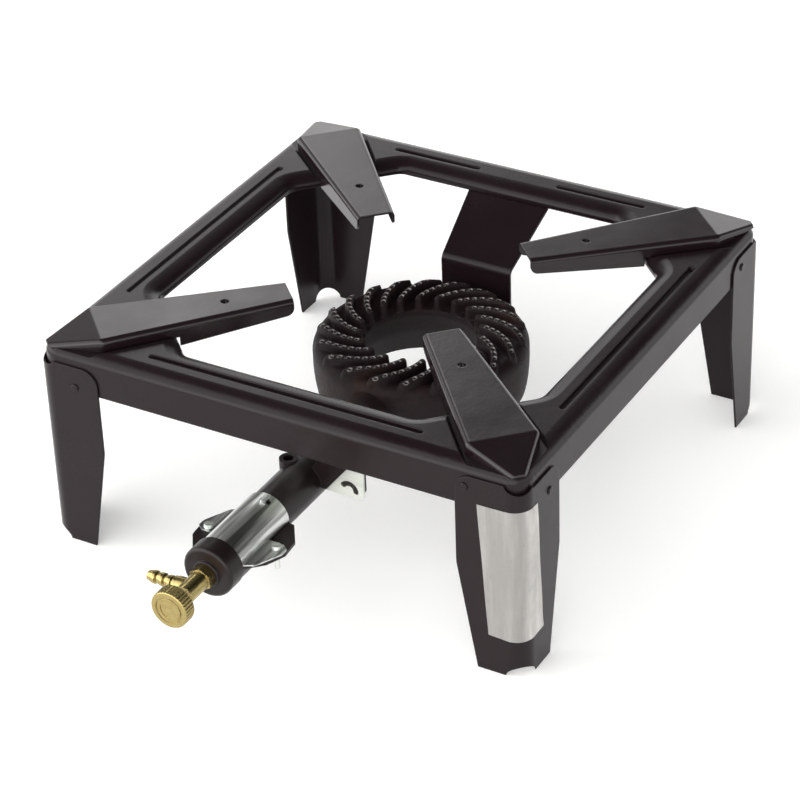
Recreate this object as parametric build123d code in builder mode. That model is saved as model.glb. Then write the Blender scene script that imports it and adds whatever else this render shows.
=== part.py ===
from build123d import *
import math
import os

os.makedirs("parts", exist_ok=True)

# ---------------------------------------------------------------------------
# Driving dimensions, millimetres.  +Z up, floor at Z = 0, the square frame is
# centred on the Z axis, the mixing tube and valve leave the front, towards -Y.
# ---------------------------------------------------------------------------
SIDE = 400.0             # outside of the frame's flanges
SHEET = 1.5              # frame, leg and pot-support sheet
CORNER_R = 16.0          # outside corner radius of the frame
Z_FLANGE = 136.4         # lower edge of the outer flange
Z_LEDGE = 166.9          # corner valleys, where the pot supports stand
Z_PANEL = 169.9          # raised rail panels
STEP_TAPER = 40.0        # slope of the panels' ends, degrees from upright
EDGE_RUN = 13.0          # rounded outer edge of the frame: run inwards
EDGE_RISE = 9.0          # and rise
INNER_RUN = 15.0         # rounded inner edge of the rails: run outwards
INNER_RISE = 8.0         # and rise
LIP_BOTTOM = 159.9       # lower edge of the inner lip
OPEN_HALF = 161.0        # half width of the frame opening
OPEN_FLAT = 96.0         # half length of each straight inner edge
OPEN_R = 14.0            # corner radius of the opening
PANEL_BASE = 204.0       # panels run out past the rounded edge, which trims them
HOLLOW_OUT = 194.0       # hollow under the panels, from the centre
BEAD_Y = (178.9, 183.6, 179.4, 179.6)   # centre line of the pressed bead on each rail
BEAD_W = 5.4
BEAD_DEPTH = (3.2, 2.6, 3.0, 1.8)

LEG_TOP = 157.4
LEG_FR_FRONT = 161.0     # the front right leg stands higher on its front face
LEG_FR_SIDE = 156.0      # and lower on its side face
RELIEF_W = 10.5          # shallow relief at the top of the bend, half width and depth
RELIEF_H = 4.5
LEG_W = 52.0             # width of each leg face at the top
LEG_FOOT_IN = 36.5       # inner end of the foot, from the corner
LEG_TAPER_Z = 88.0       # where the taper starts
LEG_BEND_R = 12.5        # inside radius of the bend
LEG_TOP_R = 13.0         # rounded upper corners
NOTCH_W = 14.5           # notch at the bend, along each face
NOTCH_H = 8.0
RIVET_R = 2.0
RIVET_HEAD_R = 3.4

SUP_TOP = 177.4          # pan plane
SUP_TIP = 92.0           # inner end, along the diagonal
SUP_TIP_HALF = 15.1
SUP_HIP = 238.5          # where the plate turns down
SUP_HIP_HALF = 26.8
SUP_APEX = 275.5         # nose, over the rounded edge of the frame's corner
SUP_APEX_HALF = 5.2
SUP_APEX_Z = 169.1
SUP_CREST_R = 3.6        # rounding of the fold along both sides
SUP_DEEP_U = 180.4       # the sides hang deepest just inside the frame opening
SUP_DEEP_Z = 159.6
SUP_TIP_Z = 165.4        # lower edge of the sides at the tip
SUP_HOLE_U = 141.0
SUP_HOLE_R = 3.2

BURN_Y = 16.0            # burner centre
BURN_R = 83.5
BURN_HOLE_R = 44.0
BURN_BOTTOM = 66.4
BURN_TOP = 118.9         # top of the port ridges
FLARE_R = 56.0           # the middle opening widens downwards to this radius
FLARE_Z = 91.0           # where the widening starts
GROOVE_FLOOR = 107.9     # shelf between the ridges
SHELF_RISE_R = 63.0      # from here outwards the shelf rises to the rim
SHELF_TOP = 112.4
RIM_R = 9.0              # rounded outer rim of the shelf
RIDGE_COUNT = 20
RIDGE_W = 5.8
RIDGE_R_IN = 47.2        # centres of each ridge's rounded ends
RIDGE_R_OUT = 78.4
RIDGE_ANGLE = 17.5       # of the first ridge, at RIDGE_REF_R
RIDGE_REF_R = 62.0
RIDGE_SWEEP = 0.95       # degrees per millimetre, clockwise going outwards
RIDGE_CURVE = 0.004
PORTS_PER_RIDGE = 7
PORT_R_IN = 50.6
PORT_R_OUT = 76.4
PORT_R = 1.2

TUBE_Z = 86.4
TUBE_R = 16.85           # one-inch pipe
TUBE_BORE_R = 13.6
TUBE_REAR = -62.0
TUBE_FRONT = -283.0
BOSS_X = -9.8            # open boss on the tube's left flank
BOSS_Y = -164.6
BOSS_TOP = 103.9

COLLAR_R = 20.0
COLLAR_REAR = -275.5
COLLAR_FRONT = -292.0
HUB_R = 10.5
HUB_FRONT = -294.0

SHUT_R = 18.7
SHUT_T = 1.2
SHUT_REAR = -212.0
SHUT_FRONT = -275.0
SHUT_SCREW_X = 28.5

VALVE_R = 7.4
VALVE_FRONT = -322.0
NOZZLE_Y = -311.5
NOZZLE_TIP = -35.0
NOZZLE_CREST_R = 4.9
SPINDLE_R = 3.0
KNOB_R = 14.6
KNOB_REAR = -329.5
KNOB_FRONT = -340.5

HALF = SIDE / 2
CORNERS = {"front_left": (-1, -1), "front_right": (1, -1), "rear_right": (1, 1), "rear_left": (-1, 1)}


# ---------------------------------------------------------------------------
# Plan helpers
# ---------------------------------------------------------------------------
def turned(points, quarter):
    """Plan points turned about the Z axis by quarter turns."""
    c, s = [(1, 0), (0, 1), (-1, 0), (0, -1)][quarter % 4]
    return [(x * c - y * s, x * s + y * c) for x, y in points]


def opening_outline(grow):
    """Chamfered square of the frame opening, grown outwards by a distance."""
    h = OPEN_HALF + grow
    f = OPEN_FLAT + grow * (math.sqrt(2) - 1)
    return [(-f, -h), (f, -h), (h, -f), (h, f), (f, h), (-f, h), (-h, f), (-h, -f)]


# side line of a pot support on the front-right corner, in plan
_du = SUP_HIP - SUP_TIP
_slope = (SUP_HIP_HALF - SUP_TIP_HALF) / _du


def support_side(u):
    return SUP_TIP_HALF + (u - SUP_TIP) * _slope


def front_side_x(y, gap):
    """X of the front-right support's front side at depth y, less a clear gap."""
    # points of the side in plan: u along (1,-1)/sqrt2, half width towards -X-Y
    u1, u2 = SUP_TIP, SUP_HIP
    r = 1 / math.sqrt(2)
    p1 = ((u1 - support_side(u1)) * r, -(u1 + support_side(u1)) * r)
    p2 = ((u2 - support_side(u2)) * r, -(u2 + support_side(u2)) * r)
    t = (y - p1[1]) / (p2[1] - p1[1])
    x = p1[0] + t * (p2[0] - p1[0])
    ln = math.hypot(p2[0] - p1[0], p2[1] - p1[1])
    return x - gap * ln / abs(p2[1] - p1[1])


def rail_panel(base, gap, inner):
    """Plan of the raised panel on the front rail."""
    xo, xi = front_side_x(-base, gap), front_side_x(-inner, gap)
    return [(-xo, -base), (xo, -base), (xi, -inner), (-xi, -inner)]


def strip(points, thickness):
    """Closed outline of a bent strip of even thickness along a centre line."""
    h = thickness / 2
    left, right = [], []
    n = len(points)
    for i, (x, y) in enumerate(points):
        dirs = []
        if i > 0:
            dx, dy = x - points[i - 1][0], y - points[i - 1][1]
            ln = math.hypot(dx, dy)
            dirs.append((dx / ln, dy / ln))
        if i < n - 1:
            dx, dy = points[i + 1][0] - x, points[i + 1][1] - y
            ln = math.hypot(dx, dy)
            dirs.append((dx / ln, dy / ln))
        nx = sum(-d[1] for d in dirs) / len(dirs)
        ny = sum(d[0] for d in dirs) / len(dirs)
        k = 1.0 if len(dirs) == 1 else 1.0 / (nx * nx + ny * ny)
        left.append((x + nx * k * h, y + ny * k * h))
        right.append((x - nx * k * h, y - ny * k * h))
    return left + right[::-1]


# rivets that hold each leg: (corner, face, position along the face, height)
RIVETS = [
    ("front_left", "y", -168.0, 140.2),
    ("front_left", "x", -163.0, 147.5),
    ("front_right", "y", 155.4, 152.0),
    ("front_right", "x", -163.0, 139.6),
    ("rear_right", "y", 163.0, 147.5),
    ("rear_right", "x", 163.0, 147.5),
    ("rear_left", "y", -163.0, 147.5),
    ("rear_left", "x", 163.0, 147.5),
]


def rivet_plane(rivet, distance):
    """Plane at a rivet, looking out of the frame, at a distance from the centre."""
    corner, face, along, height = rivet
    sx, sy = CORNERS[corner]
    if face == "y":
        return Plane(origin=(along, sy * distance, height), x_dir=(1, 0, 0), z_dir=(0, sy, 0))
    return Plane(origin=(sx * distance, along, height), x_dir=(0, 1, 0), z_dir=(sx, 0, 0))


# ---------------------------------------------------------------------------
# Top frame: pressed square ring with flange, raised rails, beads and inner lip
# ---------------------------------------------------------------------------
bead_spans = [
    (0, -115.0, 112.0),
    (1, -110.0, 112.0),
    (2, -112.0, -34.0),
    (2, 34.0, 112.0),
    (3, -112.0, 110.0),
]

with BuildPart() as top_frame:
    with BuildSketch(Plane.XY.offset(Z_FLANGE)):
        RectangleRounded(SIDE, SIDE, CORNER_R)
    extrude(amount=Z_LEDGE - Z_FLANGE)
    # raised panels of the four rails, sloped at the ends
    with BuildSketch(Plane.XY.offset(Z_LEDGE)):
        for q in range(4):
            Polygon(*turned(rail_panel(PANEL_BASE, 1.5, 110.0), q), align=None)
    extrude(amount=Z_PANEL - Z_LEDGE, taper=STEP_TAPER)
    panel_tops = top_frame.faces().filter_by(Plane.XY).group_by(Axis.Z)[-1]
    fillet(panel_tops.edges(), radius=1.6)
    # rounded outer edge, all the way round
    edge_z = Z_PANEL - EDGE_RISE
    with BuildLine(Plane.XY.offset(edge_z)) as brim:
        FilletPolyline((-HALF, -HALF), (HALF, -HALF), (HALF, HALF), (-HALF, HALF), radius=CORNER_R, close=True)
    with BuildSketch(Plane(origin=(0, -HALF, edge_z), x_dir=(0, -1, 0), z_dir=(-1, 0, 0))):
        with BuildLine():
            EllipticalCenterArc((-EDGE_RUN, 0), EDGE_RUN + 0.05, EDGE_RISE + 0.06, start_angle=0, arc_size=90)
            Polyline((-EDGE_RUN, EDGE_RISE + 0.06), (-EDGE_RUN, EDGE_RISE + 3), (8, EDGE_RISE + 3), (8, 0), (0.05, 0))
        make_face()
    sweep(path=brim.wires()[0], mode=Mode.SUBTRACT)
    # opening through the middle
    with BuildSketch(Plane.XY.offset(Z_FLANGE - 5)):
        Polygon(*opening_outline(0), align=None)
        fillet(vertices(), radius=OPEN_R)
    extrude(amount=60, mode=Mode.SUBTRACT)
    # round-over of the rails' inner edge
    roll_z = Z_PANEL - INNER_RISE
    with BuildLine(Plane.XY.offset(roll_z)) as rim:
        o = opening_outline(0)
        FilletPolyline(*[(x, y, 0) for x, y in o[:1]], *[(x, y, 0) for x, y in o[1:]], radius=OPEN_R, close=True)
    with BuildSketch(Plane(origin=(0, -OPEN_HALF, roll_z), x_dir=(0, -1, 0), z_dir=(-1, 0, 0))):
        with BuildLine():
            EllipticalCenterArc((INNER_RUN, 0), INNER_RUN + 0.05, INNER_RISE + 0.06, start_angle=90, arc_size=90)
            Polyline((INNER_RUN, INNER_RISE + 0.06), (INNER_RUN, INNER_RISE + 2), (-3, INNER_RISE + 2), (-3, 0), (-0.05, 0))
        make_face()
    sweep(path=rim.wires()[0], mode=Mode.SUBTRACT)
    # hollow underside: below the lip, beside the lip, then under the panels
    with BuildSketch(Plane.XY.offset(Z_FLANGE - 1)):
        RectangleRounded(SIDE - 2 * SHEET, SIDE - 2 * SHEET, CORNER_R - SHEET)
    extrude(amount=LIP_BOTTOM - Z_FLANGE + 1, mode=Mode.SUBTRACT)
    with BuildSketch(Plane.XY.offset(LIP_BOTTOM)):
        RectangleRounded(SIDE - 7.6, SIDE - 7.6, CORNER_R - 3.8)
        with BuildSketch(mode=Mode.PRIVATE) as lip_in:
            Polygon(*opening_outline(SHEET), align=None)
            fillet(lip_in.vertices(), radius=OPEN_R + SHEET)
        add(lip_in.sketch, mode=Mode.SUBTRACT)
    extrude(amount=2.5, mode=Mode.SUBTRACT)
    with BuildSketch(Plane.XY.offset(LIP_BOTTOM + 2.5)):
        RectangleRounded(SIDE - 7.6, SIDE - 7.6, CORNER_R - 3.8)
        with BuildSketch(mode=Mode.PRIVATE) as roll_in:
            Polygon(*opening_outline(3.3), align=None)
            fillet(roll_in.vertices(), radius=OPEN_R + 3.3)
        add(roll_in.sketch, mode=Mode.SUBTRACT)
    extrude(amount=Z_LEDGE - SHEET - LIP_BOTTOM - 2.5, mode=Mode.SUBTRACT)
    with BuildSketch(Plane.XY.offset(Z_LEDGE - SHEET)):
        for q in range(4):
            Polygon(*turned(rail_panel(HOLLOW_OUT, 3.4, 110.0), q), align=None)
        with BuildSketch(mode=Mode.PRIVATE) as rim_in:
            Polygon(*opening_outline(6.7), align=None)
            fillet(rim_in.vertices(), radius=OPEN_R + 6.7)
        add(rim_in.sketch, mode=Mode.SUBTRACT)
    extrude(amount=Z_PANEL - Z_LEDGE, taper=25, mode=Mode.SUBTRACT)
    # pressed beads: material under the groove, then the groove
    for depth_side in ("under", "groove"):
        for q, a, b in bead_spans:
            mid = turned([((a + b) / 2, -BEAD_Y[q])], q)[0]
            length = b - a
            if depth_side == "under":
                with BuildSketch(Plane.XY.offset(Z_PANEL - SHEET)):
                    with Locations(Location((mid[0], mid[1], 0), (0, 0, 90 * q))):
                        SlotOverall(length + 3.0, BEAD_W + 2.6)
                extrude(amount=-BEAD_DEPTH[q])
            else:
                with BuildSketch(Plane.XY.offset(Z_PANEL)):
                    with Locations(Location((mid[0], mid[1], 0), (0, 0, 90 * q))):
                        SlotOverall(length, BEAD_W)
                extrude(amount=-BEAD_DEPTH[q], taper=16, mode=Mode.SUBTRACT)
    # rivet holes through the flange
    for rivet in RIVETS:
        with BuildSketch(rivet_plane(rivet, HALF - 6)):
            Circle(RIVET_R + 0.05)
        extrude(amount=12, mode=Mode.SUBTRACT)
top_frame.part.label = "top_frame"
export_step(top_frame.part, "parts/top_frame.step")

# ---------------------------------------------------------------------------
# Legs: bent angle sheet outside the frame corners, tapered, notched at the bend
# ---------------------------------------------------------------------------
for corner, (sx, sy) in CORNERS.items():
    top_y, top_x = (LEG_FR_FRONT, LEG_FR_SIDE) if corner == "front_right" else (LEG_TOP, LEG_TOP)
    top = max(top_y, top_x)
    with BuildPart() as leg:
        with BuildSketch(Plane.XY.offset(top)):
            RectangleRounded(SIDE + 2 * SHEET, SIDE + 2 * SHEET, LEG_BEND_R + SHEET)
            RectangleRounded(SIDE, SIDE, LEG_BEND_R, mode=Mode.SUBTRACT)
            with Locations((sx * (HALF - LEG_W + 60), sy * (HALF - LEG_W + 60))):
                Rectangle(120, 120, mode=Mode.INTERSECT)
        extrude(amount=-top)
        # a lower top on one of the two faces
        if top_x < top:
            with BuildSketch(Plane.YZ.offset(sx * HALF)):
                with Locations((sy * (HALF - LEG_BEND_R - 40), top_x + 10)):
                    Rectangle(80, 20)
            extrude(amount=12, both=True, mode=Mode.SUBTRACT)
        # tapered sides, cut square through each face
        inner = HALF - LEG_W
        foot = HALF - LEG_FOOT_IN
        taper = [(inner - 8, LEG_TAPER_Z), (inner - 0.2, LEG_TAPER_Z), (foot, 0), (foot, -4), (inner - 8, -4)]
        with BuildSketch(Plane.XZ.offset(-sy * HALF)):
            Polygon(*[(sx * x, z) for x, z in taper], align=None)
        extrude(amount=12, both=True, mode=Mode.SUBTRACT)
        with BuildSketch(Plane.YZ.offset(sx * HALF)):
            Polygon(*[(sy * y, z) for y, z in taper], align=None)
        extrude(amount=12, both=True, mode=Mode.SUBTRACT)
        # arched notch across the bend
        r2 = 1 / math.sqrt(2)
        with BuildSketch(Plane(origin=(sx * (HALF - 40), sy * (HALF - 40), 0), x_dir=(-sy * r2, sx * r2, 0), z_dir=(sx * r2, sy * r2, 0))):
            Ellipse(NOTCH_W * r2 + 0.6, NOTCH_H)
        extrude(amount=80, mode=Mode.SUBTRACT)
        # shallow relief at the top of the bend
        with BuildSketch(Plane(origin=(sx * (HALF - 40), sy * (HALF - 40), top), x_dir=(-sy * r2, sx * r2, 0), z_dir=(sx * r2, sy * r2, 0))):
            Ellipse(RELIEF_W, RELIEF_H + top - (top_x + top_y) / 2)
        extrude(amount=80, mode=Mode.SUBTRACT)
        # rounded top corners and softened knees of the taper
        top_corners = [
            e for e in leg.edges()
            if e.length < SHEET * 1.6 and min(abs(e.center().Z - top_x), abs(e.center().Z - top_y)) < 0.3
            and min(abs(e.center().X), abs(e.center().Y)) < inner + 1.0
        ]
        fillet(top_corners, radius=LEG_TOP_R)
        knees = [
            e for e in leg.edges()
            if e.length < SHEET * 1.6 and abs(e.center().Z - LEG_TAPER_Z) < 2.0
        ]
        fillet(knees, radius=18.0)
        # rivet holes
        for rivet in RIVETS:
            if rivet[0] == corner:
                with BuildSketch(rivet_plane(rivet, HALF - 6)):
                    Circle(RIVET_R + 0.05)
                extrude(amount=12, mode=Mode.SUBTRACT)
    leg.part.label = "leg_" + corner
    export_step(leg.part, "parts/leg_" + corner + ".step")

# rivets: low head outside the leg, shank, upset tail inside the flange
with BuildPart() as leg_rivets:
    for rivet in RIVETS:
        outside = HALF + SHEET + 0.02
        inside = HALF - SHEET - 0.02
        with BuildSketch(rivet_plane(rivet, inside)):
            Circle(RIVET_R)
        extrude(amount=outside - inside)
        with BuildSketch(rivet_plane(rivet, outside)):
            Circle(RIVET_HEAD_R)
        extrude(amount=1.2, taper=38)
        with BuildSketch(rivet_plane(rivet, inside - 1.2)):
            Circle(RIVET_HEAD_R)
        extrude(amount=1.2)
leg_rivets.part.label = "leg_rivets"
export_step(leg_rivets.part, "parts/leg_rivets.step")

# ---------------------------------------------------------------------------
# Pot supports: folded covers on the diagonals, open underneath and at the tip
# ---------------------------------------------------------------------------
for corner, (sx, sy) in CORNERS.items():
    r2 = 1 / math.sqrt(2)
    base = Plane(origin=(0, 0, SUP_DEEP_Z), x_dir=(sx * r2, sy * r2, 0), z_dir=(0, 0, 1))
    side = Plane(origin=(0, 0, 0), x_dir=(sx * r2, sy * r2, 0), z_dir=(sy * r2, -sx * r2, 0))

    def along(edge):
        return (edge.center().X * sx + edge.center().Y * sy) * r2

    def across(edge):
        return (edge.center().Y * sx - edge.center().X * sy) * r2

    with BuildPart() as pot_support:
        with BuildSketch(base):
            Polygon(
                (SUP_TIP, -SUP_TIP_HALF), (SUP_HIP, -SUP_HIP_HALF), (SUP_APEX, -SUP_APEX_HALF),
                (SUP_APEX, SUP_APEX_HALF), (SUP_HIP, SUP_HIP_HALF), (SUP_TIP, SUP_TIP_HALF), align=None)
        extrude(amount=SUP_TOP - SUP_DEEP_Z)
        # sloping end facet from the hip down to the frame corner
        with BuildSketch(side):
            Polygon((SUP_HIP, SUP_TOP), (SUP_APEX + 0.2, SUP_APEX_Z), (SUP_APEX + 30, SUP_APEX_Z), (SUP_APEX + 30, SUP_TOP + 20), (SUP_HIP, SUP_TOP + 20), align=None)
        extrude(amount=60, both=True, mode=Mode.SUBTRACT)
        # soft folds: upright corners at the hip, the hip itself, then the crest
        uprights = [e for e in pot_support.edges().filter_by(Axis.Z) if abs(along(e) - SUP_HIP) < 1.0]
        fillet(uprights, radius=6.0)
        hip = [e for e in pot_support.edges()
               if abs(e.center().Z - SUP_TOP) < 0.3 and abs(across(e)) < 1.0 and abs(along(e) - SUP_HIP) < 3.0]
        fillet(hip, radius=8.0)
        crest = [e for e in pot_support.edges()
                 if e.center().Z > SUP_APEX_Z - 0.5 and abs(e.tangent_at(0.5).Z) < 0.8
                 and along(e) > SUP_TIP + 1.0 and abs(across(e)) > 6.0]
        fillet(crest, radius=SUP_CREST_R)
        open_faces = [pot_support.faces().sort_by(Axis.Z)[0]]
        open_faces.append(pot_support.faces().sort_by(Axis(origin=(0, 0, 0), direction=(sx, sy, 0)))[0])
        offset(amount=-SHEET, openings=open_faces)
        # sides: shallow at the tip, deepest inside the opening, standing in the corner valley
        with BuildSketch(side):
            Polygon((SUP_TIP - 5, SUP_DEEP_Z - 2), (SUP_TIP - 5, SUP_TIP_Z), (SUP_TIP, SUP_TIP_Z), (SUP_DEEP_U, SUP_DEEP_Z), (SUP_DEEP_U, SUP_DEEP_Z - 2), align=None)
            Polygon((SUP_DEEP_U, SUP_DEEP_Z - 2), (SUP_DEEP_U, Z_LEDGE), (SUP_APEX + 5, Z_LEDGE), (SUP_APEX + 5, SUP_DEEP_Z - 2), align=None)
        extrude(amount=60, both=True, mode=Mode.SUBTRACT)
        # hole with a drawn collar
        with BuildSketch(Plane(origin=(sx * r2 * SUP_HOLE_U, sy * r2 * SUP_HOLE_U, SUP_TOP - 1.0), x_dir=(1, 0, 0), z_dir=(0, 0, 1))):
            Circle(SUP_HOLE_R + 1.1)
        extrude(amount=-3.9)
        with BuildSketch(Plane(origin=(sx * r2 * SUP_HOLE_U, sy * r2 * SUP_HOLE_U, SUP_TOP - 8), x_dir=(1, 0, 0), z_dir=(0, 0, 1))):
            Circle(SUP_HOLE_R)
        extrude(amount=14, mode=Mode.SUBTRACT)
        lower_tips = [e for e in pot_support.edges()
                      if e.length < SHEET * 1.6 and abs(e.center().Z - SUP_TIP_Z) < 0.3 and along(e) < SUP_TIP + 1.0]
        fillet(lower_tips, radius=6.0)
    pot_support.part.label = "pot_support_" + corner
    export_step(pot_support.part, "parts/pot_support_" + corner + ".step")

# ---------------------------------------------------------------------------
# Rear bracket: strip from under the rear rail, sloping in, then down to a foot
# ---------------------------------------------------------------------------
RB_T = 2.0
rb_line = [(187.0, Z_PANEL - SHEET - RB_T / 2 - 0.02), (178.9, Z_PANEL - SHEET - RB_T / 2 - 0.02), (106.5, 127.9), (106.5, 63.4), (86.0, 63.4)]
with BuildPart() as rear_bracket:
    with BuildSketch(Plane.YZ):
        Polygon(*strip(rb_line, RB_T), align=None)
    extrude(amount=36, both=True)
    bends = [e for e in rear_bracket.edges().filter_by(Axis.X) if 65 < e.center().Z < 167.0 and e.center().Y < 190]
    knee = [e for e in bends if abs(e.center().Y - 106.5) < 3 and e.center().Z > 120]
    fillet(sorted(knee, key=lambda e: e.center().Y)[0], radius=7.0)
    knee = [e for e in rear_bracket.edges().filter_by(Axis.X) if abs(e.center().Y - 107.5) < 1.5 and e.center().Z > 124]
    fillet(sorted(knee, key=lambda e: -e.center().Y)[0], radius=5.0)
    # plan of the strip: narrow tab, wide at the lip, narrower at the burner
    with BuildSketch(Plane.XY.offset(50)):
        half = [(196, 26), (172, 26), (163, 35.4), (107, 30.5), (80, 30.5)]
        Polygon(*[(x, y) for y, x in half], *[(-x, y) for y, x in half[::-1]], align=None)
    extrude(amount=130, mode=Mode.INTERSECT)
    with BuildSketch(Plane.XY.offset(50)):
        with Locations((-18, 96.5), (18, 96.5)):
            Circle(2.7)
    extrude(amount=20, mode=Mode.SUBTRACT)
    # the foot tapers towards its two screws
    with BuildSketch(Plane.XY.offset(60.4)):
        with Locations((-29, 88), (29, 88)):
            Rectangle(10, 14, rotation=0)
    extrude(amount=4.5, mode=Mode.SUBTRACT)
rear_bracket.part.label = "rear_bracket"
export_step(rear_bracket.part, "parts/rear_bracket.step")

with BuildPart() as rear_bracket_screws:
    for x in (-18, 18):
        with BuildSketch(Plane.XY.offset(62.4 - 4.0)):
            with Locations((x, 96.5)):
                RegularPolygon(radius=4.4, side_count=6)
        extrude(amount=4.0)
        with BuildSketch(Plane.XY.offset(62.4 - 0.01)):
            with Locations((x, 96.5)):
                Circle(2.5)
        extrude(amount=12.0)
rear_bracket_screws.part.label = "rear_bracket_screws"
export_step(rear_bracket_screws.part, "parts/rear_bracket_screws.step")

# ---------------------------------------------------------------------------
# Front bracket: plated plate hung inside the front flange, saddle over the tube
# ---------------------------------------------------------------------------
FB_T = 2.0
FB_Y = -165.0
fb_line = [(FB_Y, TUBE_Z), (FB_Y, TUBE_Z + 66.0), (-HALF + SHEET + FB_T / 2, TUBE_Z + 66.0), (-HALF + SHEET + FB_T / 2, Z_FLANGE + 3.0)]
with BuildPart() as front_bracket:
    with BuildSketch(Plane.YZ.offset(-24)):
        Polygon(*strip(fb_line, FB_T), align=None)
    extrude(amount=77.5)
    with BuildSketch(Plane.XZ.offset(140)):
        # saddle for the tube, and the short left cheek
        with Locations((0, TUBE_Z)):
            Circle(TUBE_R + 0.5)
        with Locations((-12, TUBE_Z + 6.0)):
            Rectangle(40, 36)
        with Locations((0, TUBE_Z - 10.0)):
            Rectangle(2 * (TUBE_R + 0.5), 20)
        # slanted left edge beside the tube
        Polygon((0.0, TUBE_Z - 2.0), (20.0, TUBE_Z - 2.0), (40.8, TUBE_Z + 24.0), (0.0, TUBE_Z + 24.0), align=None)
    extrude(amount=40, mode=Mode.SUBTRACT)
    with BuildSketch(Plane.XZ.offset(140)):
        with Locations((0, TUBE_Z)):
            SlotArc(Edge.make_three_point_arc((36.8, 9.2), (42.6, 11.0), (47.0, 5.6)), 4.2)
            with Locations((32.0, 28.0)):
                Circle(2.55)
    extrude(amount=40, mode=Mode.SUBTRACT)
    lower = [e for e in front_bracket.edges().filter_by(Axis.Y) if abs(e.center().Z - TUBE_Z) < 0.1 and e.center().X > 45]
    fillet(lower, radius=3.0)
front_bracket.part.label = "front_bracket"
export_step(front_bracket.part, "parts/front_bracket.step")

# the screw sits behind the tube's ear and ends flush with the plate's front
EAR_REAR = FB_Y + FB_T / 2 + 6.5
with BuildPart() as front_bracket_screw:
    with BuildSketch(Plane(origin=(32.0, EAR_REAR, TUBE_Z + 28.0), x_dir=(1, 0, 0), z_dir=(0, 1, 0))):
        RegularPolygon(radius=4.6, side_count=6)
    extrude(amount=3.4)
    with BuildSketch(Plane(origin=(32.0, EAR_REAR + 0.01, TUBE_Z + 28.0), x_dir=(1, 0, 0), z_dir=(0, -1, 0))):
        Circle(2.5)
    extrude(amount=6.5 + FB_T)
front_bracket_screw.part.label = "front_bracket_screw"
export_step(front_bracket_screw.part, "parts/front_bracket_screw.step")

# ---------------------------------------------------------------------------
# Burner: hollow cast ring, open through the middle, with swept grooves and port ridges
# ---------------------------------------------------------------------------
def swept_point(turn, r):
    """Point at radius r on a swept line, counted in ridge pitches."""
    d = r - RIDGE_REF_R
    a = math.radians(RIDGE_ANGLE + 360.0 * turn / RIDGE_COUNT - RIDGE_SWEEP * d - RIDGE_CURVE * d * d)
    return (r * math.cos(a), BURN_Y + r * math.sin(a))


boss_points = [(69 * math.cos(math.radians(a)), BURN_Y + 69 * math.sin(math.radians(a))) for a in (35, 145, 215, 325)]

burner_axis = Axis(origin=(0, BURN_Y, 0), direction=(0, 0, 1))

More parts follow.
